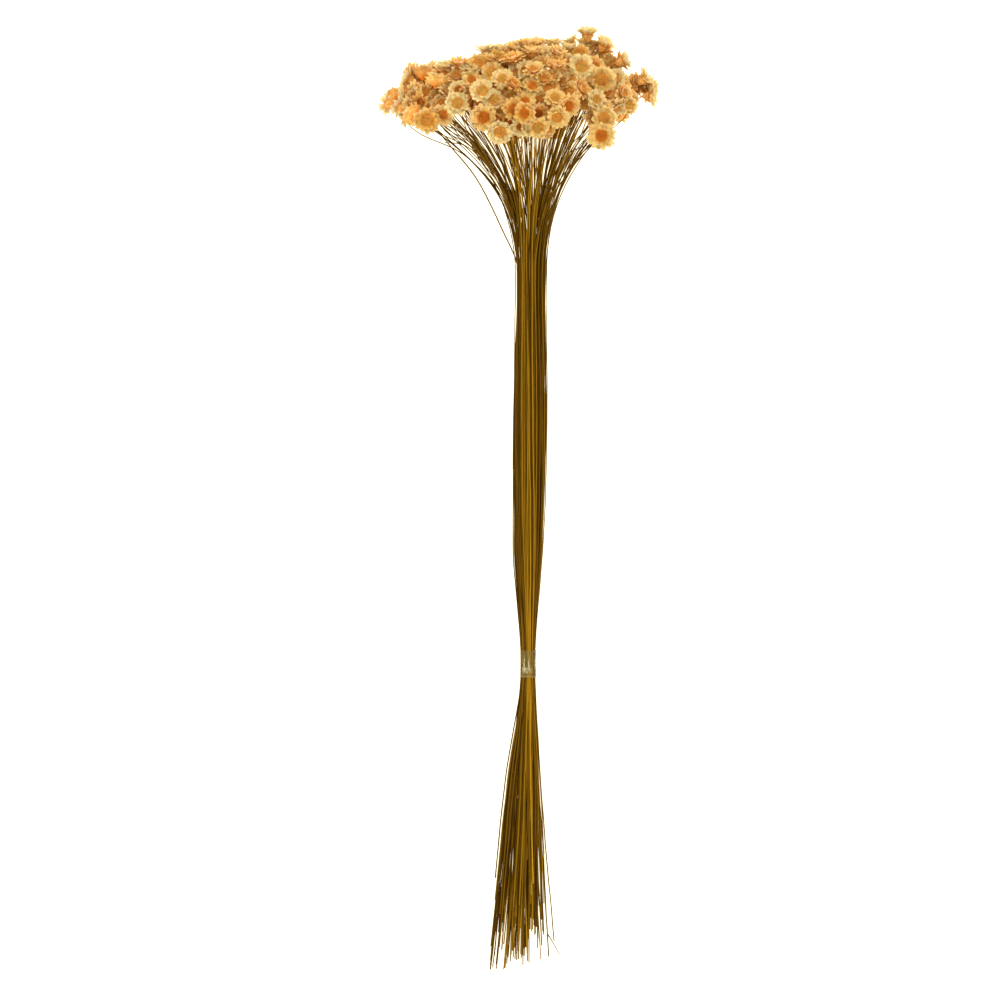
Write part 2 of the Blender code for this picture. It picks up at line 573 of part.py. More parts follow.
def strand_mesh(paths, centre):
    """Six stalks growing out of both ends of the six-sided plug that joins them inside the tie."""
    points, faces = [], []
    n_stalks = STALKS_PER_STRAND
    corner = PLUG_FLAT / math.cos(math.pi / n_stalks)
    far_end = 4 * n_stalks
    ends = (TIE_Y - PLUG_HALF_LENGTH, TIE_Y + PLUG_HALF_LENGTH)
    for y in ends:
        for n in range(STALKS_PER_STRAND):
            a = math.radians(30 + 60 * n)
            points.append((centre[0] + corner * math.cos(a), y, centre[1] + corner * math.sin(a)))
        for n in range(STALKS_PER_STRAND):
            a = math.radians(30 + 60 * n)
            for turn in (180, 60, -60):
                t = a + math.radians(turn)
                points.append((centre[0] + STRAND_RING * math.cos(a) + STALK_RADIUS_TIE * math.cos(t), y,
                               centre[1] + STRAND_RING * math.sin(a) + STALK_RADIUS_TIE * math.sin(t)))
    for base in (0, far_end):
        for n in range(n_stalks):
            j = (n + 1) % n_stalks
            hub, nxt = base + n, base + j
            inner, left, right = (base + n_stalks + 3 * n + k for k in range(3))
            inner_j, _, right_j = (base + n_stalks + 3 * j + k for k in range(3))
            faces += [(hub, right, left), (hub, left, right_j), (hub, right_j, nxt)]
            faces += [(left, inner, inner_j), (left, inner_j, right_j)]
        faces += [tuple(base + n_stalks + 3 * n for n in range(n_stalks))]
    for n in range(n_stalks):
        j = (n + 1) % n_stalks
        faces += [(n, j, far_end + j), (n, far_end + j, far_end + n)]
    for n, path in enumerate(paths):
        roll = math.radians(60 - 60 * n)
        for base, run in ((0, path[1::-1]), (far_end, path[2:])):
            ring = [base + n_stalks + 3 * n + k for k in range(3)]
            for m in range(1, len(run)):
                before, after = run[m - 1], run[min(m + 1, len(run) - 1)]
                direction = unit(after - before)
                if base == 0:
                    direction = -direction
                u, v = frame_of(direction, 0.0)
                fresh = []
                for k in range(3):
                    a = roll + 2 * math.pi * k / 3
                    fresh.append(len(points))
                    points.append(run[m] + STALK_RADIUS * (u * math.cos(a) + v * math.sin(a)))
                for k in range(3):
                    h, i = k, (k + 1) % 3
                    faces += [(ring[h], ring[i], fresh[i]), (ring[h], fresh[i], fresh[h])]
                ring = fresh
            faces += [tuple(ring)]
    return points, faces


def outward(mesh):
    form = bmesh.new()
    form.from_mesh(mesh)
    bmesh.ops.recalc_face_normals(form, faces=form.faces)
    if form.calc_volume(signed=True) < 0:
        bmesh.ops.reverse_faces(form, faces=form.faces)
    form.to_mesh(mesh)
    form.free()


def bodies_in(mesh):
    """How many separate bodies a mesh holds."""
    parent = list(range(len(mesh.vertices)))

    def root(v):
        while parent[v] != v:
            parent[v] = parent[parent[v]]
            v = parent[v]
        return v

    for edge in mesh.edges:
        a, b = root(edge.vertices[0]), root(edge.vertices[1])
        if a != b:
            parent[a] = b
    return len({root(v) for v in range(len(parent))})


def fuse(name, shapes):
    """One mesh from several closed shapes, by a Boolean union on a collection."""
    objects = []
    for k, (points, faces) in enumerate(shapes):
        mesh = mesh_from(points, faces, f"{name}_piece_{k}")
        outward(mesh)
        objects.append(bpy.data.objects.new(mesh.name, mesh))
    base = objects[0]
    bpy.context.scene.collection.objects.link(base)
    if len(objects) == 1:
        mesh = base.data.copy()
        bpy.data.objects.remove(base, do_unlink=True)
        return mesh
    others = bpy.data.collections.new(f"{name}_pieces")
    bpy.context.scene.collection.children.link(others)
    for obj in objects[1:]:
        others.objects.link(obj)
    union = base.modifiers.new("union", "BOOLEAN")
    union.operation = "UNION"
    union.operand_type = "COLLECTION"
    union.collection = others
    union.solver = "MANIFOLD"
    bpy.context.view_layer.update()
    evaluated = base.evaluated_get(bpy.context.evaluated_depsgraph_get())
    mesh = bpy.data.meshes.new_from_object(evaluated)
    for obj in objects:
        bpy.data.objects.remove(obj, do_unlink=True)
    bpy.data.collections.remove(others)
    return mesh


def add_object(name, mesh, material, smooth=False):
    mesh.name = name
    mesh.materials.clear()
    mesh.materials.append(material)
    for polygon in mesh.polygons:
        polygon.use_smooth = smooth
    obj = bpy.data.objects.new(name, mesh)
    bpy.context.scene.collection.objects.link(obj)
    return obj


def group_shapes(members, centres, facings, radii, walls, bridged, rng):
    """The closed shapes of one group's blooms, each turned at random, with bars between them if bridged."""
    shapes = []
    for i in members:
        bodied = i < len(UPPER_BLOOMS) and UPPER_BLOOMS[i][4] < SIDE_VIEW
        turn = float(rng.uniform(0, 2 * math.pi))
        points = bloom_points(centres[i], facings[i], radii[i], turn, walls[i], bodied)
        shapes.append((points, bloom_faces(bodied)))
    if bridged:
        hearts = [centres[i] - BRIDGE_DEPTH * facings[i] for i in members]
        hearts.sort(key=lambda h: sum(float(np.linalg.norm(h - other)) for other in hearts))
        shapes += [tube([hearts[0], h], BRIDGE_RADIUS) for h in hearts[1:]]
    return shapes


def build_blooms(centres, facings, radii, groups, paths, bloom_of, material, rng):
    """One object a group: its blooms are turned until they hold together, or joined under their petals."""
    group_of = np.empty(len(centres), int)
    for g, members in enumerate(groups):
        group_of[members] = g
    walls = [walls_of(i, centres, facings, group_of, paths, bloom_of) for i in range(len(centres))]
    made = []
    for g, members in enumerate(groups):
        for attempt in range(TURNS_TRIED + 1):
            bridged = attempt == TURNS_TRIED
            mesh = fuse(f"blooms_{g + 1:02d}",
                        group_shapes(members, centres, facings, radii, walls, bridged, rng))
            if bodies_in(mesh) == 1:
                break
        made.append(add_object(f"blooms_{g + 1:02d}", mesh, material))
    return made


def build_strands(paths, spots, material):
    made = []
    for k, (cx, cz) in enumerate(strand_spots()):
        mine = [paths[i] for i, spot in enumerate(spots) if spot[0] == k]
        centre = (STRAND_PITCH * cx, TIE_CENTRE_Z + STRAND_PITCH * cz)
        points, faces = strand_mesh(mine, centre)
        mesh = mesh_from(points, faces, f"stalks_{k + 1:02d}")
        outward(mesh)
        made.append(add_object(f"stalks_{k + 1:02d}", mesh, material, smooth=True))
    return made


def build_tie(material):
    """Clear band round the stalks: twelve flats outside, one of them down on the table."""
    points, faces = [], []
    half = TIE_LENGTH / 2
    inner = TIE_INNER / math.cos(math.pi / TIE_SIDES)
    outer = (TIE_INNER + TIE_WALL) / math.cos(math.pi / TIE_SIDES)
    for y in (TIE_Y - half, TIE_Y + half):
        for radius in (inner, outer):
            for k in range(TIE_SIDES):
                a = 2 * math.pi * (k + 0.5) / TIE_SIDES
                points.append((radius * math.cos(a), y, TIE_CENTRE_Z + radius * math.sin(a)))
    n = TIE_SIDES
    for k in range(n):
        j = (k + 1) % n
        faces += [(k, j, 2 * n + j, 2 * n + k), (n + k, 3 * n + k, 3 * n + j, n + j)]
        faces += [(k, n + k, n + j, j), (2 * n + k, 2 * n + j, 3 * n + j, 3 * n + k)]
    mesh = mesh_from(points, faces, "tie")
    outward(mesh)
    return add_object("tie", mesh, material)


def centre_on_origin(objects):
    """Moves everything so that the origin is under the middle of the bounding box, on the table."""
    corners = np.array([tuple(v.co) for obj in objects for v in obj.data.vertices])
    low, high = corners.min(axis=0), corners.max(axis=0)
    shift = Vector((-(low[0] + high[0]) / 2, -(low[1] + high[1]) / 2, -low[2]))
    for obj in objects:
        obj.data.transform(Matrix.Translation(shift))


def main():
    clear_scene()
    petal = make_material("petal", (0.86, 0.52, 0.24), 0.7)
    stalk = make_material("stalk", (0.27, 0.16, 0.03), 0.6)
    film = make_material("film", (0.85, 0.82, 0.72), 0.15, 0.45)
    rng = np.random.default_rng(SEED)
    centres, facings, radii = lay_out_blooms(rng)
    groups = group_blooms(centres, facings, rng)
    centres = settle_blooms(centres, facings, radii, groups)
    spots = stalk_spots()
    bloom_of = assign_blooms(centres, spots)
    paths = stalk_paths(centres, facings, spots, bloom_of, rng)
    paths = settle_stalks(paths, spots, centres, facings, radii, bloom_of)
    objects = build_blooms(centres, facings, radii, groups, paths, bloom_of, petal, rng)
    objects += build_strands(paths, spots, stalk)
    objects.append(build_tie(film))
    centre_on_origin(objects)


main()
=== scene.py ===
"""A tied bunch of dried everlasting flowers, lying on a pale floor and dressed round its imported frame."""

import json
import logging
import math
from dataclasses import dataclass
from enum import Enum

import bpy
import numpy as np
from mathutils import Matrix, Vector

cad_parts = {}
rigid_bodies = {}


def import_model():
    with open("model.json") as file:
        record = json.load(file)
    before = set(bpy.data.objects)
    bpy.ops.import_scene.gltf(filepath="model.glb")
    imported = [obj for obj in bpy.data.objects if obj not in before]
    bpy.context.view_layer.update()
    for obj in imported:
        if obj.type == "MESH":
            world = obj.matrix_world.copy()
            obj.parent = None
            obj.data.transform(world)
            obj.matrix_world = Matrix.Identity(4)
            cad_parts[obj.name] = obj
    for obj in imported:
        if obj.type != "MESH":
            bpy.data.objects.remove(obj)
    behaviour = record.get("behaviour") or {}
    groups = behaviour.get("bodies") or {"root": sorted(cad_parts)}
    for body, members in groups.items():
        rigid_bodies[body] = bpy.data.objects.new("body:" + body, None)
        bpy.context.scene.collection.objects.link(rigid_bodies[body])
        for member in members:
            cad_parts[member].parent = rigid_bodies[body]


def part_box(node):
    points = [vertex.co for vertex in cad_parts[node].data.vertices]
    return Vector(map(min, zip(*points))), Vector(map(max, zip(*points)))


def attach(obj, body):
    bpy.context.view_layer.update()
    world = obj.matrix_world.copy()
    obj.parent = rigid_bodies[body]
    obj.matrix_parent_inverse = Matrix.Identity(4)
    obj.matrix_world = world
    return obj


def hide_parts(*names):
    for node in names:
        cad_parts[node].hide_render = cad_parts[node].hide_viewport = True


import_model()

MM = 0.001
SEED = 2174
LOG = logging.getLogger("everlasting_bunch")

# Short names of types that come back often.
Pair = tuple[float, float]
Triple = tuple[float, float, float]
Four = tuple[float, float, float, float]
Socket = bpy.types.NodeSocket
Draws = np.random.Generator

# Blooms seen from above: x, y, radius, turn in the plane (0 = +X, 90 = +Y), facing (90 = up at the viewer,
# 0 = seen from the side, below 0 = seen from behind) and how far the bloom sits below the dome's surface.
UPPER_BLOOMS = (
    (-83.6, 229.3, 6.7, 172, -55, 4), (-75.5, 228.7, 6.2, 160, -50, -6), (-71.4, 223.2, 5.6, 205, -10, 0),
    (-67.0, 224.2, 6.4, 150, -48, 0), (-59.1, 221.7, 8.0, 270, 74, 0), (-49.1, 225.2, 7.0, 270, 60, 5),
    (-41.2, 231.1, 7.4, 90, 80, 0), (-70.2, 246.3, 5.9, 150, 0, 0), (-69.6, 239.6, 5.9, 182, 10, 0),
    (-60.8, 249.8, 6.9, 90, -25, 0), (-52.9, 243.6, 7.6, 75, -32, 0), (-66.2, 232.6, 5.8, 200, 36, 4),
    (-49.8, 251.2, 6.6, 95, 20, 2), (-39.8, 254.0, 6.6, 90, 20, 2), (-41.6, 246.0, 6.2, 90, 45, 5),
    (-40.4, 239.2, 6.2, 90, 66, 2), (-32.8, 244.2, 6.2, 90, 60, 2), (-34.0, 250.6, 6.2, 90, 35, 5),
    (-26.8, 238.0, 7.4, 90, 66, 0), (-33.4, 231.6, 6.0, 0, 45, 5), (-27.6, 224.6, 8.2, 270, 70, 0),
    (-19.4, 232.4, 6.8, 90, 70, 2), (-14.6, 212.8, 7.7, 270, 66, 0), (-9.4, 227.0, 6.8, 0, 70, 0),
    (-18.2, 221.2, 6.0, 240, 50, 5), (-11.8, 235.2, 6.0, 60, 56, 4), (-22.2, 255.6, 6.9, 90, 10, 4),
    (-24.6, 261.4, 7.1, 95, 5, 6), (-13.6, 261.4, 6.4, 90, 10, 5), (-15.2, 245.8, 6.5, 90, 60, 0),
    (-6.6, 248.0, 6.2, 80, 50, 4), (-9.4, 241.0, 6.2, 45, 32, 0), (-2.4, 265.6, 7.1, 90, 5, 0),
    (12.8, 266.8, 7.1, 90, 5, 0), (1.8, 261.0, 6.9, 90, 16, 3), (-8.2, 256.2, 6.9, 100, 20, 2),
    (-6.4, 215.8, 5.9, 270, 60, 6), (5.8, 215.8, 7.2, 270, 66, 0), (0.0, 224.0, 6.9, 200, 66, 0),
    (7.6, 227.6, 6.2, 315, 56, 4), (17.0, 222.8, 7.2, 280, 60, 0), (23.4, 229.8, 7.4, 330, 55, 0),
    (14.6, 234.6, 6.2, 60, 60, 0), (14.0, 253.8, 6.7, 80, 26, 2), (10.6, 259.2, 6.4, 100, 35, 6),
    (31.0, 252.7, 7.7, 90, 75, 0), (29.2, 241.0, 7.2, 20, 32, 2), (42.8, 245.7, 8.4, 270, 66, 0),
    (46.8, 253.9, 6.2, 60, 50, 0), (40.4, 232.8, 6.4, 20, 60, 0), (43.9, 222.9, 7.4, 300, 75, 0),
    (41.6, 210.6, 8.2, 270, 75, 0), (53.2, 239.3, 6.2, 20, 45, 0), (51.4, 229.3, 5.9, 300, 45, 4),
    (58.5, 230.5, 5.6, 0, 66, 0), (67.4, 246.0, 7.0, 40, 10, 0), (70.8, 236.3, 6.8, 0, 10, 0),
    (55.2, 256.8, 6.0, 20, 5, 0), (32.8, 272.4, 7.1, 90, 5, 0), (27.4, 267.6, 5.8, 120, 0, 5),
    (37.4, 266.2, 7.6, 75, -5, 2), (45.6, 264.4, 6.7, 60, 15, 2), (23.4, 263.2, 6.6, 80, 10, 3),
    (2.8, 250.4, 6.7, 90, 46, 0), (10.0, 244.4, 6.6, 90, 50, 2), (1.2, 239.8, 6.6, 90, 60, 0),
    (-1.8, 232.2, 6.2, 90, 60, 2), (21.6, 241.2, 6.2, 120, 50, 4), (22.2, 247.4, 5.9, 90, 30, 6),
)
LOWER_EDGE = ((-84, 232), (-70, 228), (-60, 223), (-46, 227), (-38, 231), (-22, 221), (-10, 213), (10, 213),
              (20, 221), (34, 233), (41, 214), (48, 221), (60, 232), (75, 238))
UPPER_EDGE = ((-84, 232), (-76, 236), (-72, 246), (-60, 250), (-45, 252), (-32, 254), (-25, 261), (0, 265),
              (20, 265), (28, 266), (35, 268), (45, 263), (55, 256), (62, 248), (72, 240))

# Bract tone and disc tone of each listed bloom, in the same order.
UPPER_TONES = (
    "co co co pt at pb co co ct pt pt po co at kt cd pb ct co ab kr co ct ar ar ar pt ct pt co ct ab pt "
    "pt pt at cd po ar ad pt kr po at ct co kt pt pd co pt pr kt ct po ct ct ct ct ct ct ct ct pt at pb "
    "pr kt po"
).split()


class BractTone(Enum):
    """Colours of the papery bracts, as shares of red, green and blue on a screen."""

    c = (0.922, 0.805, 0.535)
    p = (0.926, 0.750, 0.425)
    k = (0.926, 0.718, 0.400)
    a = (0.920, 0.672, 0.295)


class DiscTone(Enum):
    """Colours of the disc's rim and of its middle, as shares on a screen."""

    o = ((0.88, 0.67, 0.32), (0.77, 0.62, 0.30))
    t = ((0.90, 0.65, 0.31), (0.82, 0.60, 0.27))
    b = ((0.86, 0.55, 0.22), (0.78, 0.49, 0.18))
    r = ((0.84, 0.50, 0.17), (0.76, 0.45, 0.14))
    d = ((0.74, 0.43, 0.12), (0.62, 0.36, 0.09))


def linear(colour: tuple[float, ...]) -> np.ndarray:
    """Turns shares on a screen into linear light."""
    c = np.array(colour, float)
    return np.where(c <= 0.04045, c / 12.92, ((c + 0.055) / 1.055) ** 2.4)


def unit(v: np.ndarray) -> np.ndarray:
    """The vector at length one."""
    return v / max(1e-9, float(np.linalg.norm(v)))


def along(table: tuple, y: float, column: int = 1) -> float:
    """The value in one column of a table at y, linear between its rows."""
    return float(np.interp(y, [row[0] for row in table], [row[column] for row in table]))


def across(direction: np.ndarray, turn: float = 0.0) -> tuple[np.ndarray, np.ndarray]:
    """Two unit vectors across a direction, turned about it."""
    side = np.array((1.0, 0.0, 0.0)) if abs(direction[0]) < 0.8 else np.array((0.0, 0.0, 1.0))
    u = unit(np.cross(direction, side))
    v = np.cross(direction, u)
    return u * math.cos(turn) + v * math.sin(turn), -u * math.sin(turn) + v * math.cos(turn)


def mesh_object(name: str, points: np.ndarray, faces: list, smooth: bool = True) -> bpy.types.Object:
    """Makes a mesh object from points in metres.

    Args:
        name: Name of the object and its mesh.
        points: One row of three coordinates a vertex.
        faces: Tuples of vertex numbers, or edges where each holds two.
        smooth: Whether the faces are shaded smooth.

    Returns:
        The object, linked to the scene.
    """
    mesh = bpy.data.meshes.new(name)
    edges = [f for f in faces if len(f) == 2]
    mesh.from_pydata([tuple(map(float, p)) for p in points], edges, [f for f in faces if len(f) > 2])
    mesh.polygons.foreach_set("use_smooth", [smooth] * len(mesh.polygons))
    mesh.update()
    made = bpy.data.objects.new(name, mesh)
    bpy.context.scene.collection.objects.link(made)
    return made


def store(mesh: bpy.types.Mesh, name: str, kind: str, values: np.ndarray) -> None:
    """Writes one value a vertex into a named attribute of a mesh."""
    field = {"FLOAT_VECTOR": "vector", "FLOAT_COLOR": "color"}.get(kind, "value")
    dtype = np.int32 if kind == "INT" else np.float32
    attribute = mesh.attributes.new(name, kind, "POINT")
    attribute.data.foreach_set(field, np.ascontiguousarray(values, dtype).ravel())


@dataclass
class HeadLayout:
    """Where the blooms sit, which way they face and which three share a node, in millimetres."""

    middle: Triple = (-3.0, 208.0, 37.0)
    half_x: float = 78.0
    half_y: float = 60.0
    rise: float = 45.0
    drop: float = 35.5
    blooms: int = 114
    fill_blooms: int = 12
    fill_depth: float = 10.5
    fill_above: float = 8.0
    fill_x: Pair = (-72.0, 62.0)
    fill_y: Pair = (214.0, 262.0)
    fill_lean: Pair = (0.012, 0.45)
    fill_flat: float = 0.25
    side_top: float = 0.12
    under_reach: float = 1.35
    end_reach: float = 0.97
    tries: int = 200
    tilt: float = 0.2
    spread_radii: Pair = (6.3, 7.4)
    lone: tuple[int, ...] = (55, 56, 57)
    heart_height: float = 3.0
    apart_power: float = 1.6
    swaps: int = 150000
    warm_swaps: int = 130000
    heat: float = 40.0
    rounds: int = 200
    listed_ease: float = 0.25
    listed_reach: Triple = (2.0, 2.0, 10.0)
    spread_reach: float = 7.0
    kin_gap: float = 0.62
    other_gap: float = 0.70
    push: float = 0.4
    near_gap: float = 0.64
    near_pull: float = 0.3
    far_gap: float = 0.80
    far_pull: float = 0.12
    above_floor: Pair = (2.0, 0.55)

    def dome_point(self, x: float, y: float, below: float) -> np.ndarray:
        """The point of the dome over x and y, or as far below it as is asked."""
        side = ((x - self.middle[0]) / self.half_x) ** 2
        side += (max(0.0, y - self.middle[1]) / self.half_y) ** 2
        return np.array((x, y, self.middle[2] + self.rise * math.sqrt(max(0.0, 1.0 - side)) - below))

    def facing_vector(self, turn: float, facing: float) -> np.ndarray:
        """The direction that a bloom faces, from its turn and its height angle in degrees."""
        t, f = math.radians(turn), math.radians(facing)
        return np.array((math.cos(f) * math.cos(t), math.cos(f) * math.sin(t), math.sin(f)))

    def inside(self, x: float, y: float) -> bool:
        """Whether x and y lie inside the head's outline."""
        return along(LOWER_EDGE, x) <= y <= along(UPPER_EDGE, x)

    def lower_spot(self, rng: Draws) -> tuple[np.ndarray, np.ndarray]:
        """A random spot on the side or underside of the dome, and its outward direction."""
        x, y, z = self.middle
        while True:
            s = unit(rng.normal(size=3))
            s[1] = abs(s[1])
            if s[2] > self.side_top:
                continue
            depth = self.rise * s[2] if s[2] > 0 else self.drop * max(-1.0, self.under_reach * s[2])
            p = np.array((x + self.half_x * s[0], y + self.half_y * self.end_reach * s[1], z + depth))
            if self.inside(p[0], p[1]):
                return p, unit(s / np.array((self.half_x, self.half_y, self.drop)))

    def fill_spot(self, rng: Draws) -> tuple[np.ndarray, np.ndarray]:
        """A random spot one layer under the upper side, and its outward direction."""
        while True:
            x, y = rng.uniform(*self.fill_x), rng.uniform(*self.fill_y)
            p = self.dome_point(x, y, self.fill_depth)
            if self.inside(x, y) and p[2] > self.middle[2] + self.fill_above:
                sideways, forward = self.fill_lean
                return p, unit(np.array((sideways * (x - self.middle[0]), forward, 1.0)))

    def lay_out(self, rng: Draws) -> None:
        """Sets the centres, facings and radii: the upper blooms as listed, the rest spread evenly."""
        centres = [self.dome_point(x, y, below) for x, y, _, _, _, below in UPPER_BLOOMS]
        facings = [self.facing_vector(turn, facing) for _, _, _, turn, facing, _ in UPPER_BLOOMS]
        radii = [row[2] for row in UPPER_BLOOMS]
        while len(centres) < self.blooms:
            fill = len(centres) < len(UPPER_BLOOMS) + self.fill_blooms
            weight = np.array((1.0, 1.0, self.fill_flat if fill else 1.0))
            best, best_gap = None, -1.0
            for _ in range(self.tries):
                spot = self.fill_spot(rng) if fill else self.lower_spot(rng)
                gap = float(np.linalg.norm((np.array(centres) - spot[0]) * weight, axis=1).min())
                if gap > best_gap:
                    best, best_gap = spot, gap
            centres.append(best[0])
            facings.append(unit(best[1] + self.tilt * rng.normal(size=3)))
            radii.append(float(rng.uniform(*self.spread_radii)))
        self.centres, self.facings, self.radii = np.array(centres), np.array(facings), np.array(radii)

    def group(self, rng: Draws) -> None:
        """Puts neighbouring blooms in threes, by swapping members while the groups get tighter."""
        spots = self.centres + self.heart_height * self.facings
        rest = [i for i in range(len(spots)) if i not in self.lone]
        around = np.arctan2(spots[:, 2] - self.middle[2], spots[:, 0] - self.middle[0])
        rest.sort(key=lambda i: (round(float(around[i]), 1), spots[i][1]))
        groups = [rest[k:k + 3] for k in range(0, len(rest), 3)]
        apart = np.linalg.norm(spots[:, None] - spots[None], axis=2) ** self.apart_power

        def cost(members: list[int]) -> float:
            """How spread a group is."""
            return sum(apart[a, b] for n, a in enumerate(members) for b in members[n + 1:])

        for step in range(self.swaps):
            g, h = (int(k) for k in rng.integers(len(groups), size=2))
            if g == h:
                continue
            a, b = int(rng.integers(3)), int(rng.integers(3))
            first, second = list(groups[g]), list(groups[h])
            first[a], second[b] = second[b], first[a]
            change = cost(first) + cost(second) - cost(groups[g]) - cost(groups[h])
            heat = self.heat * (1.0 - step / self.warm_swaps)
            if change < -1e-9 or (heat > 0 and rng.random() < math.exp(-change / max(heat, 0.1))):
                groups[g], groups[h] = first, second
        self.groups = groups + [[i] for i in self.lone]

    def settle(self) -> None:
        """Pushes crowded blooms apart and draws each group together."""
        centres, radii, listed = self.centres, self.radii, len(UPPER_BLOOMS)
        group_of = np.empty(len(centres), int)
        for g, members in enumerate(self.groups):
            group_of[members] = g
        ease = np.ones((len(centres), 3))
        ease[:listed, :2] = self.listed_ease
        home = centres.copy()
        reach = np.full((len(centres), 3), self.spread_reach)
        reach[:listed] = self.listed_reach
        least, sideways = self.above_floor
        floor = least + sideways * radii * np.sqrt(1 - self.facings[:, 2] ** 2)
        for _ in range(self.rounds):
            shift = np.zeros_like(centres)
            for i in range(len(centres)):
                away = centres[i] - centres
                gap = np.linalg.norm(away, axis=1)
                gap[i] = 1e9
                need = np.where(group_of == group_of[i], self.kin_gap, self.other_gap) * (radii[i] + radii)
                close = gap < need
                push = (need - gap)[close, None] * away[close] / gap[close, None]
                shift[i] += self.push * push.sum(axis=0)
                others = sorted((j for j in self.groups[group_of[i]] if j != i), key=lambda k: gap[k])
                near, far = others[:1], others[-1:]
                pulls = [(j, self.near_gap, self.near_pull) for j in near]
                pulls += [(j, self.far_gap, self.far_pull) for j in far]
                for j, share, pull in pulls:
                    slack = gap[j] - share * (radii[i] + radii[j])
                    if slack > 0:
                        shift[i] -= pull * slack * away[j] / gap[j]
            centres = home + np.clip(centres + shift * ease - home, -reach, reach)
            centres[:, 2] = np.maximum(centres[:, 2], floor)
        self.centres = centres


@dataclass
class StalkLayout:
    """The way of every stalk from its cut end through the tie to its bloom, in millimetres."""

    head: HeadLayout
    profile: tuple = (
        (-276.0, 18.0, 6.6, 7.6, -3.8, -14.0),
        (-226.0, 15.2, 6.0, 7.0, -4.2, -10.0),
        (-24.0, 9.2, 6.8, 9.6, 0.2, 13.0),
        (58.0, 10.2, 8.4, 17.9, 1.2, 24.0),
        (132.0, 9.7, 8.9, 26.6, 2.0, 34.0),
    )
    tie_y: float = -96.2
    tie_centre_z: float = 4.85
    pitch: float = 1.62
    ring: float = 0.42
    in_strand: int = 6
    plug_half: float = 10.4
    stations: tuple[float, ...] = (-24.0, 58.0, 132.0)
    fan_shares: tuple[float, ...] = (0.30, 0.58, 0.82)
    fan_focus_y: float = 150.0
    longest: float = -276.0
    shortest: float = -228.0
    cut_bias: float = 1.5
    fan_lean: float = 0.06
    fan_rise: float = 0.54
    fan_tail: float = 0.24
    radius: float = 0.39
    gap: float = 0.3
    calyx_depth: float = 4.3
    reach: float = 2.42
    bend: float = 4.0
    step: float = 0.6
    spacing: float = 0.98
    kin_spacing: float = 0.85
    cut_spacing: float = 0.9
    tie_share: float = 0.8
    cut_share: float = 0.3
    free_spread: float = 8.0
    push: float = 0.45
    rounds: int = 110
    assign_rounds: int = 60
    cut_wobble: Pair = (0.9, 0.12)
    wobble: float = 0.2
    arrive_turn: float = 0.8
    fan_forward: float = 0.25
    room_middle: float = 1.3
    room_half: float = 5.2
    room_wider: float = 0.8
    room_spans: int = 4
    room_push: float = 1.75
    smooth_own: float = 0.5
    smooth_near: float = 0.35

    def strand_spots(self) -> list[Pair]:
        """Centres of the nineteen strands in units of their pitch: one, six round it, then twelve."""
        spots = [(0.0, 0.0)]
        for a in range(-2, 3):
            for b in range(-2, 3):
                if (a, b) != (0, 0) and abs(a + b) <= 2:
                    spots.append((a + 0.5 * b, b * math.sqrt(3) / 2))
        return sorted(spots, key=lambda s: (round(math.hypot(*s), 3), math.atan2(s[1], s[0])))

    def spread(self) -> None:
        """Sets the spot of every stalk: strand, x, z and place in it, in units of the strand pitch."""
        ring = 1.0 / (1.0 + math.sqrt(3.0))
        self.spots = []
        for k, (x, z) in enumerate(self.strand_spots()):
            for n in range(self.in_strand):
                a = math.radians(30 + 60 * n)
                self.spots.append((k, x + ring * math.cos(a), z + ring * math.sin(a), n))

    def assign(self) -> None:
        """Sets the bloom of each stalk, such that stalks fan out without crossing over one another."""
        head, centres = self.head, self.head.centres
        wide = (centres[:, 0] - head.middle[0]) / head.half_x
        high = centres[:, 2] - head.middle[2]
        flat = np.stack((wide, high / np.where(high > 0, head.rise, head.drop)), axis=1)
        polar = np.array([math.atan2(head.half_y * math.hypot(*f), c[1] - self.fan_focus_y)
                          for f, c in zip(flat, centres)])
        order = np.argsort(np.argsort(polar))
        radius = np.sqrt((order + 0.5) / len(centres))
        target = flat / np.linalg.norm(flat, axis=1)[:, None] * radius[:, None]
        place = np.array([(x, z) for _, x, z, _ in self.spots]) / self.reach
        bloom_of = np.arange(len(self.spots))
        for _ in range(self.assign_rounds):
            changed = False
            for i in range(len(bloom_of)):
                t = target[bloom_of]
                gain = ((place[i] - place) * (t[i] - t)).sum(axis=1)
                j = int(np.argmin(gain))
                if gain[j] < -1e-9:
                    bloom_of[i], bloom_of[j] = bloom_of[j], bloom_of[i]
                    changed = True
            if not changed:
                break
        self.bloom_of = bloom_of

    def bundle_point(self, spot: tuple, y: float, wobble: np.ndarray) -> np.ndarray:
        """Where a stalk crosses the plane y, outside the tie and below the fan."""
        _, x, z, _ = spot
        turn = math.radians(along(self.profile, y, 5))
        x, z = x * math.cos(turn) - z * math.sin(turn), x * math.sin(turn) + z * math.cos(turn)
        half_x = (along(self.profile, y, 1) - self.radius) / self.reach
        half_z = (along(self.profile, y, 2) - self.radius) / self.reach
        return np.array((along(self.profile, y, 4) + half_x * x + wobble[0], y,
                         along(self.profile, y, 3) + half_z * z + wobble[1]))

    def tie_point(self, spot: tuple, y: float) -> np.ndarray:
        """Where a stalk leaves the tie in the frame."""
        k, x, z, n = spot
        if k < 0:
            return np.array((self.pitch * x, y, self.tie_centre_z + self.pitch * z))
        x, z = self.strand_spots()[k]
        a = math.radians(30 + 60 * n)
        return np.array((self.pitch * x + self.ring * math.cos(a), y,
                         self.tie_centre_z + self.pitch * z + self.ring * math.sin(a)))

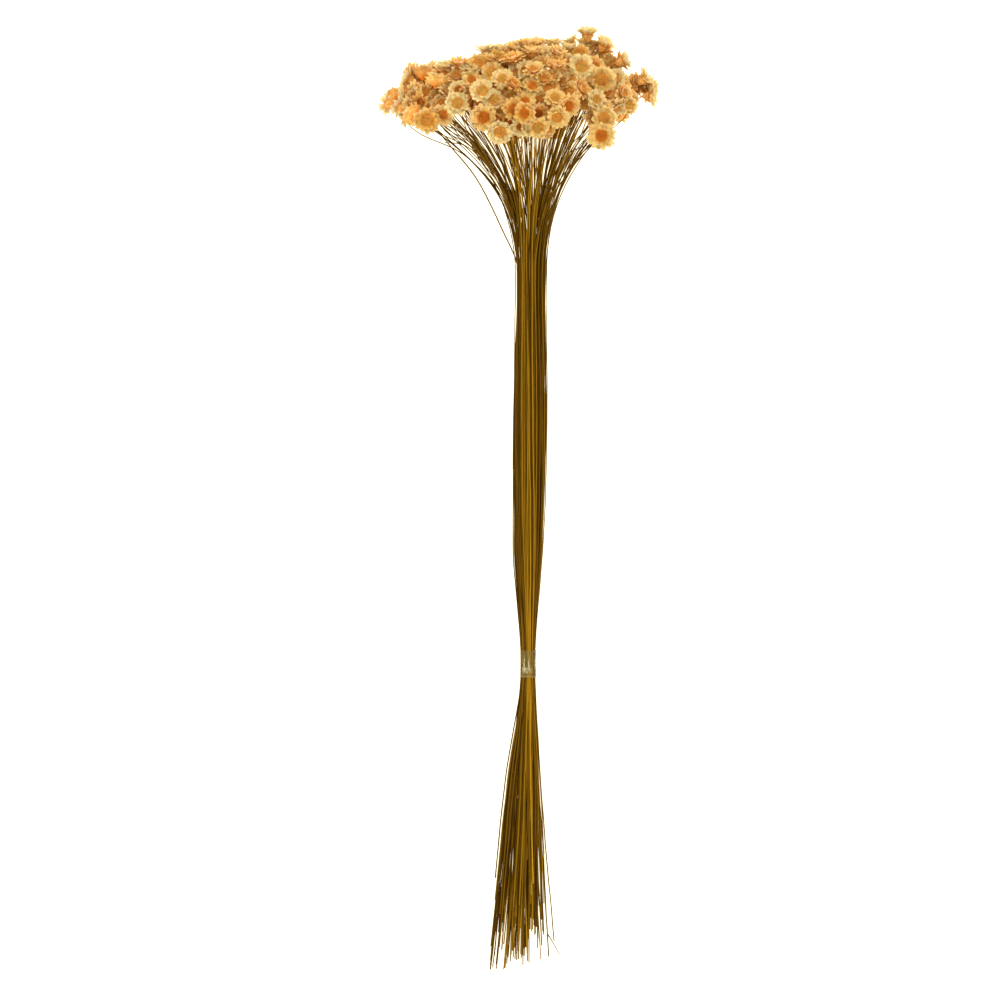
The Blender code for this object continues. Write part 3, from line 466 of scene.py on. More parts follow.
    def way(self, spot: tuple, bloom: int, rng: Draws) -> list[np.ndarray]:
        """The polyline of one stalk from its cut end to just behind its bloom."""
        centre, facing = self.head.centres[bloom], self.head.facings[bloom]
        cut = self.shortest + (self.longest - self.shortest) * rng.random() ** self.cut_bias
        points = [self.bundle_point(spot, cut, rng.normal(size=2) * self.cut_wobble)]
        points += [self.tie_point(spot, self.tie_y + side * self.plug_half) for side in (-1, 1)]
        points += [self.bundle_point(spot, y, rng.normal(size=2) * self.wobble) for y in self.stations]
        start = points[-1]
        end = centre - facing * (self.calyx_depth + self.gap)
        reach = float(np.linalg.norm(end - start))
        straight = (end - start) / reach
        arrive = unit(straight + self.arrive_turn * facing)
        forward = np.array((0.0, self.fan_forward, 0.0))
        leave = unit(unit(start - points[-2]) + forward + self.fan_lean * straight)
        lift, tail = start + leave * reach * self.fan_rise, end - arrive * reach * self.fan_tail
        for t in self.fan_shares + (1.0,):
            s = 1.0 - t
            points.append(s ** 3 * start + 3 * s * s * t * lift + 3 * s * t * t * tail + t ** 3 * end)
        return points

    def draw(self, rng: Draws) -> None:
        """Sets the polyline of each stalk."""
        ends = zip(self.spots, self.bloom_of)
        self.paths = np.array([self.way(spot, bloom, rng) for spot, bloom in ends])

    @staticmethod
    def closest(p: np.ndarray, q: np.ndarray, r: np.ndarray,
                s: np.ndarray) -> tuple[np.ndarray, np.ndarray]:
        """Nearest parameters of segments p-q and r-s, as arrays."""
        d1, d2, w = q - p, s - r, p - r
        a, e, f = (d1 * d1).sum(-1), (d2 * d2).sum(-1), (d2 * w).sum(-1)
        c, b = (d1 * w).sum(-1), (d1 * d2).sum(-1)
        bottom = np.maximum(a * e - b * b, 1e-9)
        t = np.clip((b * f - c * e) / bottom, 0, 1)
        u = np.clip((b * t + f) / np.maximum(e, 1e-9), 0, 1)
        t = np.clip((b * u - c) / np.maximum(a, 1e-9), 0, 1)
        return t, u

    def stalk_pushes(self, paths: np.ndarray, pairs: np.ndarray, kin: np.ndarray) -> np.ndarray:
        """How far the points of close stalks are pushed apart."""
        shift = np.zeros_like(paths)
        last = paths.shape[1] - 1
        spans = [(0, 0)] + [(m, n) for m in range(2, last) for n in range(max(2, m - 2), min(last, m + 3))]
        for m, n in spans:
            p, q = paths[pairs[:, 0], m], paths[pairs[:, 0], m + 1]
            r, s = paths[pairs[:, 1], n], paths[pairs[:, 1], n + 1]
            halves = 0.5 * (np.linalg.norm(q - p, axis=1) + np.linalg.norm(s - r, axis=1))
            near = np.linalg.norm(0.5 * (p + q - r - s), axis=1) < halves + self.spacing
            p, q, r, s, which, family = p[near], q[near], r[near], s[near], pairs[near], kin[near]
            t, u = self.closest(p, q, r, s)
            away = p + (q - p) * t[:, None] - r - (s - r) * u[:, None]
            gap = np.linalg.norm(away, axis=1)
            if m == 0:
                first = np.minimum(t, u)
                leaving = np.minimum(self.ring + self.free_spread * (1.0 - first), self.cut_spacing)
                apart = np.where(first < self.tie_share, self.cut_spacing, 0.0)
                wanted = np.where(family, leaving, apart)
            elif m > 2 and n > 2:
                wanted = np.where(family, self.kin_spacing, self.spacing)
            else:
                wanted = np.where(family, 0.0, self.tie_share)
            hit = gap < wanted
            push = (self.push * (wanted - gap) / np.maximum(gap, 1e-6))[hit, None] * away[hit]
            t, u, which = t[hit], u[hit], which[hit]
            if m == 0:
                t, u = np.minimum(t, self.cut_share), np.minimum(u, self.cut_share)
            for stalk, knot, way, at in ((which[:, 0], m, push, t), (which[:, 1], n, -push, u)):
                np.add.at(shift, (stalk, knot), way * (1 - at)[:, None])
                np.add.at(shift, (stalk, knot + 1), way * at[:, None])
        return shift

    def bloom_pushes(self, paths: np.ndarray, bloom_of: np.ndarray) -> np.ndarray:
        """How far stalks are pushed out of the egg-shaped room round each bloom that isn't theirs."""
        shift = np.zeros_like(paths)
        head, last = self.head, paths.shape[1] - 1
        for b, (centre, facing, radius) in enumerate(zip(head.centres, head.facings, head.radii)):
            hub = centre - facing * self.room_middle
            long, wide = 1.0 / self.room_half ** 2, 1.0 / (radius + self.room_wider) ** 2
            for m in range(last - self.room_spans, last):
                p, q = paths[:, m], paths[:, m + 1]
                d = q - p
                t = np.clip(((hub - p) * d).sum(1) / np.maximum((d * d).sum(1), 1e-9), 0, 1)
                away = p + d * t[:, None] - hub
                axial = away @ facing
                side = away - axial[:, None] * facing
                size = np.sqrt(long * axial ** 2 + wide * (side * side).sum(1))
                hit = (size < 1.0) & (bloom_of != b)
                out = long * axial[:, None] * facing + wide * side
                out /= np.maximum(np.linalg.norm(out, axis=1), 1e-9)[:, None]
                push = self.room_push * (1 - size)[hit, None] * out[hit]
                shift[hit, m] += push * (1 - t[hit])[:, None]
                shift[hit, m + 1] += push * t[hit][:, None]
        return shift

    def bent(self, paths: np.ndarray, home: np.ndarray, shift: np.ndarray, held: slice) -> np.ndarray:
        """The paths after one round of pushes, smoothed along each stalk, with some knots held."""
        near = shift[:, :-2] + shift[:, 2:]
        shift[:, 1:-1] = self.smooth_own * shift[:, 1:-1] + self.smooth_near * near
        shift[:, held] = 0
        shift[:, -1] = 0
        moved = paths + np.clip(shift, -self.step, self.step)
        return home + np.clip(moved - home, -self.bend, self.bend)

    def settle(self) -> None:
        """Bends stalks clear of each other and of the blooms that aren't theirs."""
        paths = self.paths
        strand = np.array([spot[0] for spot in self.spots])
        pairs = np.array([(i, j) for i in range(len(paths)) for j in range(i + 1, len(paths))])
        kin = strand[pairs[:, 0]] == strand[pairs[:, 1]]
        home = paths.copy()
        for _ in range(self.rounds):
            shift = self.stalk_pushes(paths, pairs, kin)
            shift += self.bloom_pushes(paths, self.bloom_of)
            paths = self.bent(paths, home, shift, slice(1, 3))
            paths[:, 3:, 2] = np.maximum(paths[:, 3:, 2], 2 * self.radius)
            paths[:, 0, 2] = np.maximum(paths[:, 0, 2], self.radius)
        self.paths = paths


@dataclass
class InnerLayer:
    """Blooms between and under those of the solids, which fill the head, each on its own thin stalk."""

    head: HeadLayout
    stalks: StalkLayout
    most: int = 62
    least_gain: int = 4
    grid_step: float = 1.3
    edge: float = 2.4
    cover: float = 0.74
    side_cover: float = 2.2
    depths: Pair = (3.0, 7.0)
    radii: Pair = (6.0, 7.2)
    scatter: float = 0.5
    lift: float = 0.5
    tilt: float = 0.25
    open_air: tuple[Triple, ...] = (
        (45.5, 236.0, 6.0), (21.0, 245.7, 2.2), (34.2, 246.0, 2.4), (-65.0, 243.0, 1.8),
        (-60.0, 235.8, 1.6), (58.0, 250.0, 5.0), (63.0, 238.0, 2.0), (-61.0, 246.0, 4.0),
        (-53.0, 240.0, 4.5))
    air_margin: float = 2.0
    tie_radius: float = 4.2
    tie_spacing: float = 0.65
    tie_scatter: float = 0.15
    tie_rounds: int = 300
    tie_push: float = 0.45
    rounds: int = 60

    def covered(self, grid: np.ndarray, centre: np.ndarray, facing: np.ndarray,
                radius: float) -> np.ndarray:
        """Which points of a grid a bloom hides, seen from above."""
        away = grid - (centre + facing)[:2]
        flat = float(np.linalg.norm(facing[:2]))
        way = facing[:2] / max(flat, 1e-6)
        run = away @ way
        side = away @ np.array((-way[1], way[0]))
        deep = self.cover * radius * abs(facing[2]) + self.side_cover * flat
        return (run / deep) ** 2 + (side / (self.cover * radius)) ** 2 < 1.0

    def fill(self, rng: Draws) -> None:
        """Puts each bloom where it hides most of what is still bare, seen from above."""
        head = self.head
        left, right = LOWER_EDGE[0][0], LOWER_EDGE[-1][0]
        low, high = min(y for _, y in LOWER_EDGE), max(y for _, y in UPPER_EDGE)
        grid = np.array([(x, y) for x in np.arange(left, right, self.grid_step)
                         for y in np.arange(low, high, self.grid_step)
                         if along(LOWER_EDGE, x) + self.edge <= y <= along(UPPER_EDGE, x) + self.edge])
        bare = np.ones(len(grid), bool)
        for x, y, radius in self.open_air:
            bare &= np.linalg.norm(grid - (x, y), axis=1) > radius
        for centre, facing, radius in zip(head.centres, head.facings, head.radii):
            if centre[2] > head.middle[2]:
                bare &= ~self.covered(grid, centre, facing, radius)
        near = np.linalg.norm(grid[:, None] - grid[None], axis=2) < self.cover * self.radii[0]
        centres, facings, radii = [], [], []
        while len(centres) < self.most:
            gain = (near & bare[None]).sum(axis=1)
            for x, y, radius in self.open_air:
                gain[np.linalg.norm(grid - (x, y), axis=1) < radius + self.air_margin] = 0
            best = int(np.argmax(gain))
            if gain[best] < self.least_gain:
                break
            x, y = grid[best] + rng.normal(0, self.scatter, 2)
            centre = head.dome_point(x, y, rng.uniform(*self.depths))
            listed = head.centres[:len(UPPER_BLOOMS), :2]
            nearest = int(np.argmin(np.linalg.norm(listed - (x, y), axis=1)))
            facing = head.facings[nearest] + (0.0, 0.0, self.lift) + self.tilt * rng.normal(size=3)
            centres.append(centre)
            facings.append(unit(facing))
            radii.append(float(rng.uniform(*self.radii)))
            bare &= ~self.covered(grid, centre, facings[-1], radii[-1])
        self.first = len(head.centres)
        self.members = list(range(self.first, self.first + len(centres)))
        LOG.info("inner layer: %d blooms, %d of %d grid points bare", len(centres), bare.sum(), len(grid))
        self.parents = [int(np.argmin(np.linalg.norm(head.centres - c, axis=1))) for c in centres]
        head.centres = np.vstack((head.centres, centres))
        head.facings = np.vstack((head.facings, facings))
        head.radii = np.append(head.radii, radii)

    def pack_tie(self, rng: Draws) -> None:
        """Spreads all stalks evenly inside the tie, the inner ones beside that of their nearest bloom."""
        layout = self.stalks
        stalk_of = {int(bloom): stalk for stalk, bloom in enumerate(layout.bloom_of)}
        spots = [(x, z) for _, x, z, _ in layout.spots]
        for parent in self.parents:
            x, z = spots[stalk_of[parent]]
            spots.append((x + rng.normal(0, self.tie_scatter), z + rng.normal(0, self.tie_scatter)))
        spots = np.array(spots) * self.tie_radius / layout.reach
        for _ in range(self.tie_rounds):
            away = spots[:, None] - spots[None]
            gap = np.linalg.norm(away, axis=2)
            np.fill_diagonal(gap, self.tie_radius * 2)
            short = np.clip(self.tie_spacing - gap, 0.0, None) / np.maximum(gap, 1e-3)
            spots = spots + self.tie_push * (away * short[..., None]).sum(axis=1)
            out = np.linalg.norm(spots, axis=1)
            spots *= np.minimum(1.0, self.tie_radius / np.maximum(out, 1e-6))[:, None]
        self.tie_spots = spots

    def route(self, rng: Draws) -> None:
        """Draws the inner stalks and bends them clear of the blooms that aren't theirs."""
        layout = self.stalks
        grown = layout.reach / self.tie_radius
        spots = [(-1, x * grown, z * grown, 0) for x, z in self.tie_spots[self.first:]]
        paths = np.array([layout.way(spot, bloom, rng) for spot, bloom in zip(spots, self.members)])
        home = paths.copy()
        bloom_of = np.array(self.members)
        for _ in range(self.rounds):
            paths = layout.bent(paths, home, layout.bloom_pushes(paths, bloom_of), slice(0, 6))
        self.paths = paths


@dataclass
class NodeTree:
    """Adds and joins the nodes of one tree."""

    tree: bpy.types.NodeTree

    def add(self, kind: str, inputs: dict | None = None, **settings) -> bpy.types.Node:
        """Adds a node.

        Args:
            kind: The node's type name.
            inputs: Values or output sockets for its inputs, by name or number.
            settings: Properties of the node.

        Returns:
            The node.
        """
        node = self.tree.nodes.new(kind)
        for name, value in settings.items():
            setattr(node, name, value)
        for key, value in (inputs or {}).items():
            socket = node.inputs[key]
            if isinstance(value, Socket):
                self.tree.links.new(value, socket)
            else:
                socket.default_value = value
        return node

    def mix(self, factor: object, a: object, b: object, blend: str = "MIX") -> Socket:
        """Mixes two colours and returns the socket of the result."""
        node = self.add("ShaderNodeMix", data_type="RGBA", blend_type=blend)
        for key, value in ((0, factor), (6, a), (7, b)):
            if isinstance(value, Socket):
                self.tree.links.new(value, node.inputs[key])
            else:
                node.inputs[key].default_value = value
        return node.outputs[2]

    def spread(self, value: Socket, low: float, high: float, to_low: float,
               to_high: float) -> Socket:
        """Maps one range of a value onto another and returns the socket of the result."""
        ends = {0: value, 1: low, 2: high, 3: to_low, 4: to_high}
        return self.add("ShaderNodeMapRange", ends).outputs[0]

    def math(self, operation: str, a: object, b: object = 0.0) -> Socket:
        """One sum, product or other operation, as the socket of its result."""
        return self.add("ShaderNodeMath", {0: a, 1: b}, operation=operation).outputs[0]

    def read(self, name: str, output: str = "Fac") -> Socket:
        """The socket of a value that the mesh carries, in a material."""
        return self.add("ShaderNodeAttribute", attribute_name=name).outputs[output]

    def named(self, name: str, kind: str) -> Socket:
        """The socket of a value that the points carry, in a geometry tree."""
        return self.add("GeometryNodeInputNamedAttribute", {"Name": name}, data_type=kind).outputs[0]

    def shaded(self, colour: Socket, tone: Socket) -> Socket:
        """The socket of a colour made lighter or darker by a tone."""
        grey = self.add("ShaderNodeCombineColor", {0: tone, 1: tone, 2: tone}).outputs[0]
        return self.mix(1.0, colour, grey, "MULTIPLY")

    def declare(self, way: str, kind: str, *names: str, value: object = None) -> None:
        """Adds sockets of one kind to a group's input or output side."""
        for name in names:
            socket = self.tree.interface.new_socket(name, in_out=way, socket_type="NodeSocket" + kind)
            if value is not None:
                socket.default_value = value


class DryGrain:
    """A shared group: the mottled tone and the fine ribs of dried plant tissue."""

    contrast_gain: float = 3.0
    mottle_relief: float = 0.4
    rib_relief: float = 0.6

    def __init__(self) -> None:
        """Builds the group with its named sockets."""
        self.tree = bpy.data.node_groups.new("Dry Grain", "ShaderNodeTree")
        nodes = NodeTree(self.tree)
        nodes.declare("INPUT", "Vector", "Vector")
        for name, value in (("Mottle Scale", 900.0), ("Rib Scale", 4000.0), ("Contrast", 0.2)):
            nodes.declare("INPUT", "Float", name, value=value)
        nodes.declare("OUTPUT", "Float", "Tone", "Height")
        given = nodes.add("NodeGroupInput").outputs
        coarse = {"Vector": given["Vector"], "Scale": given["Mottle Scale"], "Detail": 3.0,
                  "Roughness": 0.6}
        fine = {"Vector": given["Vector"], "Scale": given["Rib Scale"], "Detail": 2.0}
        mottle = nodes.add("ShaderNodeTexNoise", coarse).outputs["Fac"]
        ribs = nodes.add("ShaderNodeTexNoise", fine).outputs["Fac"]
        swing = nodes.math("MULTIPLY", nodes.math("SUBTRACT", mottle, 0.5), given["Contrast"])
        tone = nodes.math("ADD", nodes.math("MULTIPLY", swing, self.contrast_gain), 1.0)
        mottled = nodes.math("MULTIPLY", mottle, self.mottle_relief)
        height = nodes.math("ADD", mottled, nodes.math("MULTIPLY", ribs, self.rib_relief))
        nodes.add("NodeGroupOutput", {"Tone": tone, "Height": height})

    def place(self, nodes: NodeTree, vector: Socket, mottle: float, rib: float,
              contrast: float) -> bpy.types.Node:
        """Puts the group into a material's tree with its own values."""
        node = nodes.add("ShaderNodeGroup", node_tree=self.tree)
        nodes.tree.links.new(vector, node.inputs["Vector"])
        for name, value in (("Mottle Scale", mottle), ("Rib Scale", rib), ("Contrast", contrast)):
            node.inputs[name].default_value = value
        return node


@dataclass(frozen=True)
class Finish:
    """What every finish has: its name, gloss and relief."""

    name: str
    roughness: float
    relief: float
    sheen: float = 0.0
    glow: float = 0.0
    glow_depth: float = 0.001
    specular: float = 0.3
    glow_tint: Triple = (1.0, 0.95, 0.9)
    bump_strength: float = 0.8

    def start(self) -> tuple[bpy.types.Material, NodeTree, bpy.types.Node]:
        """A new material, its tree and its shader with the values that don't vary."""
        material = bpy.data.materials.new(self.name)
        material.use_nodes = True
        shader = material.node_tree.nodes["Principled BSDF"]
        shader.inputs["Roughness"].default_value = self.roughness
        shader.inputs["Specular IOR Level"].default_value = self.specular
        shader.inputs["Sheen Weight"].default_value = self.sheen
        shader.inputs["Subsurface Weight"].default_value = self.glow
        shader.inputs["Subsurface Radius"].default_value = self.glow_tint
        shader.inputs["Subsurface Scale"].default_value = self.glow_depth
        return material, NodeTree(material.node_tree), shader

    def bump(self, nodes: NodeTree, shader: bpy.types.Node, height: Socket) -> None:
        """Joins a height to the shader's normal."""
        relief = {"Height": height, "Strength": self.bump_strength, "Distance": self.relief}
        node = nodes.add("ShaderNodeBump", relief)
        nodes.tree.links.new(node.outputs[0], shader.inputs["Normal"])


@dataclass(frozen=True)
class BractFinish(Finish):
    """Papery bract: ribbed along its length; deeper in colour towards its root and on its underside near
    the root, partly its own colour and partly painted shade, and paler at its tip, partly its own colour
    and partly painted highlight.
    """

    # Deep orange at the root: partly the bracts' own colour, partly painted shade.
    root: Triple = (0.94, 0.54, 0.10)
    # Pale cream at the tip: partly the bracts' own colour, partly painted highlight.
    tip: Triple = (0.94, 0.86, 0.63)
    ribs: float = 9.0
    rib_tone: Pair = (0.95, 1.02)
    rib_height: float = 0.5
    root_colour_and_shade_fade: Four = (0.05, 0.60, 0.80, 0.0)
    underside_colour_and_shade_fade: Four = (0.0, 0.30, 0.45, 0.0)
    tip_colour_and_highlight_fade: Four = (0.55, 1.0, 0.0, 0.35)
    grain: Triple = (420.0, 2600.0, 0.16)

    def build(self, grain: DryGrain) -> bpy.types.Material:
        """Builds the material."""
        material, nodes, shader = self.start()
        place = nodes.add("ShaderNodeTexCoord").outputs["Object"]
        tint = nodes.read("tint", "Color")
        run, side, under = nodes.read("run"), nodes.read("side"), nodes.read("under")
        dry = grain.place(nodes, place, *self.grain).outputs
        # Painted shade, partly the bracts' own colour: deeper orange towards the root and on the underside
        # near the root.
        root_colour_and_shade = nodes.spread(run, *self.root_colour_and_shade_fade)
        behind = nodes.math("MULTIPLY", nodes.spread(run, *self.underside_colour_and_shade_fade), under)
        depth = nodes.math("MAXIMUM", root_colour_and_shade, behind)
        # Painted highlight, partly the bracts' own colour: paler towards the tip.
        faded = nodes.mix(nodes.spread(run, *self.tip_colour_and_highlight_fade), tint, (*linear(self.tip), 1.0))
        colour = nodes.mix(depth, faded, (*linear(self.root), 1.0))
        wave = nodes.math("SINE", nodes.math("MULTIPLY", side, self.ribs))
        shade = nodes.math("MULTIPLY", nodes.spread(wave, -1.0, 1.0, *self.rib_tone), dry["Tone"])
        nodes.tree.links.new(nodes.shaded(colour, shade), shader.inputs["Base Color"])
        height = nodes.math("ADD", nodes.math("MULTIPLY", wave, self.rib_height), dry["Height"])
        self.bump(nodes, shader, height)
        return material


@dataclass(frozen=True)
class TintedFinish(Finish):
    """Tissue whose colour comes from the piece: calyx scales, florets and stalks."""

    mottle: float = 500.0
    rib: float = 3000.0
    contrast: float = 0.2
    stretch: Triple = (1.0, 1.0, 1.0)

    def build(self, grain: DryGrain) -> bpy.types.Material:
        """Builds the material."""
        material, nodes, shader = self.start()
        place = nodes.add("ShaderNodeTexCoord").outputs["Object"]
        drawn = nodes.add("ShaderNodeMapping", {"Vector": place, "Scale": self.stretch}).outputs[0]
        tint = nodes.read("tint", "Color")
        dry = grain.place(nodes, drawn, self.mottle, self.rib, self.contrast).outputs
        nodes.tree.links.new(nodes.shaded(tint, dry["Tone"]), shader.inputs["Base Color"])
        self.bump(nodes, shader, dry["Height"])
        return material


@dataclass(frozen=True)
class FilmFinish(Finish):
    """Clear tape, pale where it lies in wrinkles or away from the stalks, and in streaks that are painted
    highlights.
    """

    clear: float = 0.06
    frost_and_highlight_alpha: float = 0.72
    creases: float = 1500.0
    crease_fade: Four = (0.38, 0.60, 0.35, 1.0)
    film_colour: Triple = (0.40, 0.32, 0.10)
    frost_and_highlight_colour: Triple = (0.93, 0.87, 0.62)

    def build(self) -> bpy.types.Material:
        """Builds the material."""
        material, nodes, shader = self.start()
        place = nodes.add("ShaderNodeTexCoord").outputs["Object"]
        noise = {"Vector": place, "Scale": self.creases, "Detail": 2.0}
        creases = nodes.add("ShaderNodeTexNoise", noise).outputs["Fac"]
        # Pale film: the painted highlight streaks and the frosted wrinkles.
        frost_and_highlight_mask = nodes.math("MULTIPLY", nodes.read("haze"), nodes.spread(creases, *self.crease_fade))
        alpha = nodes.spread(frost_and_highlight_mask, 0.0, 1.0, self.clear, self.frost_and_highlight_alpha)
        nodes.tree.links.new(alpha, shader.inputs["Alpha"])
        pale = nodes.mix(frost_and_highlight_mask, (*self.film_colour, 1.0), (*self.frost_and_highlight_colour, 1.0))
        nodes.tree.links.new(pale, shader.inputs["Base Color"])
        self.bump(nodes, shader, creases)
        return material


@dataclass(frozen=True)
class FloorFinish(Finish):
    """Pale matt board."""

    colour: Triple = (0.85, 0.85, 0.85)
    glow_colour: Triple = (1.0, 0.92, 0.66)
    lit: float = 0.95

    def build(self) -> bpy.types.Material:
        """Builds the material."""
        material, _, shader = self.start()
        shader.inputs["Base Color"].default_value = (*self.colour, 1.0)
        shader.inputs["Emission Color"].default_value = (*self.glow_colour, 1.0)
        shader.inputs["Emission Strength"].default_value = self.lit
        return material


class Kind(Enum):
    """The small shapes that a head is made of, in the order of their collection."""

    BRACT = 0
    SLENDER = 4
    SCALE = 6
    HEART = 7
    FLORET = 8


@dataclass
class HeadKit:
    """The shapes that every bloom repeats: bracts, calyx scales, heart and floret."""

    rows: tuple[Pair, ...] = (
        (0.0, 0.58), (0.18, 0.80), (0.42, 0.96), (0.66, 1.0), (0.87, 0.76), (1.0, 0.28))
    slender_rows: tuple[Pair, ...] = (
        (0.0, 0.50), (0.18, 0.78), (0.42, 1.0), (0.66, 0.86), (0.87, 0.46), (1.0, 0.10))
    scale_rows: tuple[Pair, ...] = ((0.0, 0.7), (0.5, 1.0), (1.0, 0.22))
    curls: tuple[Triple, ...] = (
        (0.10, 0.02, 0.20), (0.15, 0.16, 0.28), (0.06, -0.14, 0.14), (0.14, 0.10, 0.36))
    slender_curls: tuple[Triple, ...] = ((0.14, -0.10, 0.34), (0.08, 0.12, 0.50))
    thickness: float = 0.026
    arch_peak: float = 2.6
    sides_back: float = 0.05
    scale_curl: Triple = (0.10, -0.05, 0.3)
    floret_rings: tuple[Pair, ...] = ((0.9, -0.4), (0.85, 0.45))
    floret_sides: int = 5
    heart_profile: tuple[Pair, ...] = (
        (-4.5, 0.060), (-3.9, 0.130), (-3.0, 0.225), (-2.0, 0.315), (-1.0, 0.385), (-0.1, 0.42),
        (0.55, 0.42), (0.92, 0.35), (1.12, 0.20), (1.18, 0.06))
    heart_sides: int = 12

    @staticmethod
    def ring(count: int, radius: float, z: float) -> list[Triple]:
        """Evenly spaced points round the axis."""
        angles = [2 * math.pi * k / count for k in range(count)]
        return [(radius * math.cos(angle), radius * math.sin(angle), z) for angle in angles]

    def bract(self, name: str, rows: tuple, columns: int,
              curl: Triple) -> bpy.types.Object:
        """One bract as a thin closed shell, rooted at the origin and one unit long.

        Args:
            name: Name of the object.
            rows: Share of the length and share of the half width of each row.
            columns: How many points lie across it.
            curl: How far it arches, how far its tip turns up or down, and how hollow it is.

        Returns:
            The object, with its length, width and underside kept as attributes.
        """
        arch, tip, cup = curl
        points, run, side, under, upper, lower = [], [], [], [], {}, {}
        for j, (t, width) in enumerate(rows):
            for i in range(columns):
                s = 2.0 * i / (columns - 1) - 1.0
                rim = i in (0, columns - 1) or j in (0, len(rows) - 1)
                x = t - self.sides_back * s * s * t
                z = arch * self.arch_peak * math.sqrt(t) * (1.0 - t) + tip * t ** 3
                z += cup * (width * s) ** 2 * 0.5 * t
                for layer, lift in ((upper, 0.5), (lower, -0.5)):
                    if rim and layer is lower:
                        lower[i, j] = upper[i, j]
                        continue
                    layer[i, j] = len(points)
                    points.append((x, 0.5 * width * s, z + (0.0 if rim else lift * self.thickness)))
                    run.append(t)
                    side.append(s)
                    under.append(0.5 if rim else 0.5 - lift)
        faces = []
        for j in range(len(rows) - 1):
            for i in range(columns - 1):
                faces.append((upper[i, j], upper[i, j + 1], upper[i + 1, j + 1], upper[i + 1, j])[::-1])
                faces.append((lower[i, j], lower[i, j + 1], lower[i + 1, j + 1], lower[i + 1, j]))
        made = mesh_object(name, np.array(points), faces)
        for label, values in (("run", run), ("side", side), ("under", under)):
            store(made.data, label, "FLOAT", np.array(values))
        rims = set(upper.values()) & set(lower.values())
        sharp = [edge.vertices[0] in rims and edge.vertices[1] in rims for edge in made.data.edges]
        made.data.attributes.new("sharp_edge", "BOOLEAN", "EDGE").data.foreach_set("value", sharp)
        return made

    def heart(self) -> bpy.types.Object:
        """The bulb under the bracts and the dome under the florets, as one turned shape."""
        n = self.heart_sides
        points, faces = [], []
        for z, radius in self.heart_profile:
            points += self.ring(n, radius, z)
        for j in range(len(self.heart_profile) - 1):
            for k in range(n):
                a, b = j * n + k, j * n + (k + 1) % n
                faces.append((a, b, b + n, a + n))
        faces += [tuple(range(n))[::-1], tuple(range(len(points) - n, len(points)))]
        return mesh_object("kind_7_heart", np.array(points), faces)

    def floret(self) -> bpy.types.Object:
        """A small bud with a point."""
        n = self.floret_sides
        points, faces = [], []
        for radius, z in self.floret_rings:
            points += self.ring(n, radius, z)
        points.append((0.0, 0.0, 1.0))
        for k in range(n):
            a, b = k, (k + 1) % n
            faces += [(a, b, b + n, a + n), (a + n, b + n, 2 * n)]
        faces += [tuple(range(n))[::-1]]
        return mesh_object("kind_8_floret", np.array(points), faces)

    def build(self) -> bpy.types.Collection:
        """Makes every shape and puts them in a collection, in the order of their kinds."""
        made = [self.bract(f"kind_{n}_bract", self.rows, 4, curl) for n, curl in enumerate(self.curls)]
        made += [self.bract(f"kind_{n + Kind.SLENDER.value}_slender", self.slender_rows, 3, curl)
                 for n, curl in enumerate(self.slender_curls)]
        made.append(self.bract("kind_6_scale", self.scale_rows, 3, self.scale_curl))
        made += [self.heart(), self.floret()]
        kit = bpy.data.collections.new("head_kinds")
        for obj in made:
            bpy.context.scene.collection.objects.unlink(obj)
            kit.objects.link(obj)
        return kit


@dataclass
class Whorl:
    """One ring of bracts.

    Root, tip and width are shares of the bloom's radius, and the heights are millimetres along its axis.
    Shade makes the ring lighter or darker, as painted shade that darkens the lower rings, and tuft is how
    many degrees it closes up in a side view.
    """

    count: int
    root: float
    root_height: float
    tip: float
    tip_height: float
    width: float
    shade: float
    tuft: float


@dataclass
class ScaleRing:
    """One ring of calyx scales.

    Height, length and width are in millimetres, share is a share of the bloom's radius, lift is in degrees,
    and pale says how near the ring comes to the paler of the two calyx colours.
    """

    count: int
    height: float
    share: float
    lift: float
    length: float
    width: float
    pale: float


@dataclass
class Bloom:
    """One bloom: its place and size, two ways across it, and the small shapes that it is made of."""

    centre: np.ndarray
    facing: np.ndarray
    radius: float
    ways: tuple[np.ndarray, np.ndarray]
    rows: list[tuple]

    def out(self, angle: float) -> np.ndarray:
        """The way from the middle towards an angle."""
        return self.ways[0] * math.cos(angle) + self.ways[1] * math.sin(angle)

    def spot(self, share: float, height: float, angle: float) -> np.ndarray:
        """A point at a share of the radius and a height along the axis."""
        return self.centre + self.facing * height + self.radius * share * self.out(angle)

    def add(self, kind: int, place: np.ndarray, angle: float, lift: float, size: tuple,
            tint: np.ndarray) -> None:
        """Adds a shape that points away from the middle and is lifted towards the bloom's face."""
        out = self.out(angle)
        x = out * math.cos(lift) + self.facing * math.sin(lift)
        z = self.facing * math.cos(lift) - out * math.sin(lift)
        y = np.cross(z, x)
        turn = Matrix((x, y, z)).transposed().to_euler()
        self.rows.append((kind, place, tuple(turn), size, np.clip(tint, 0.0, 1.0)))


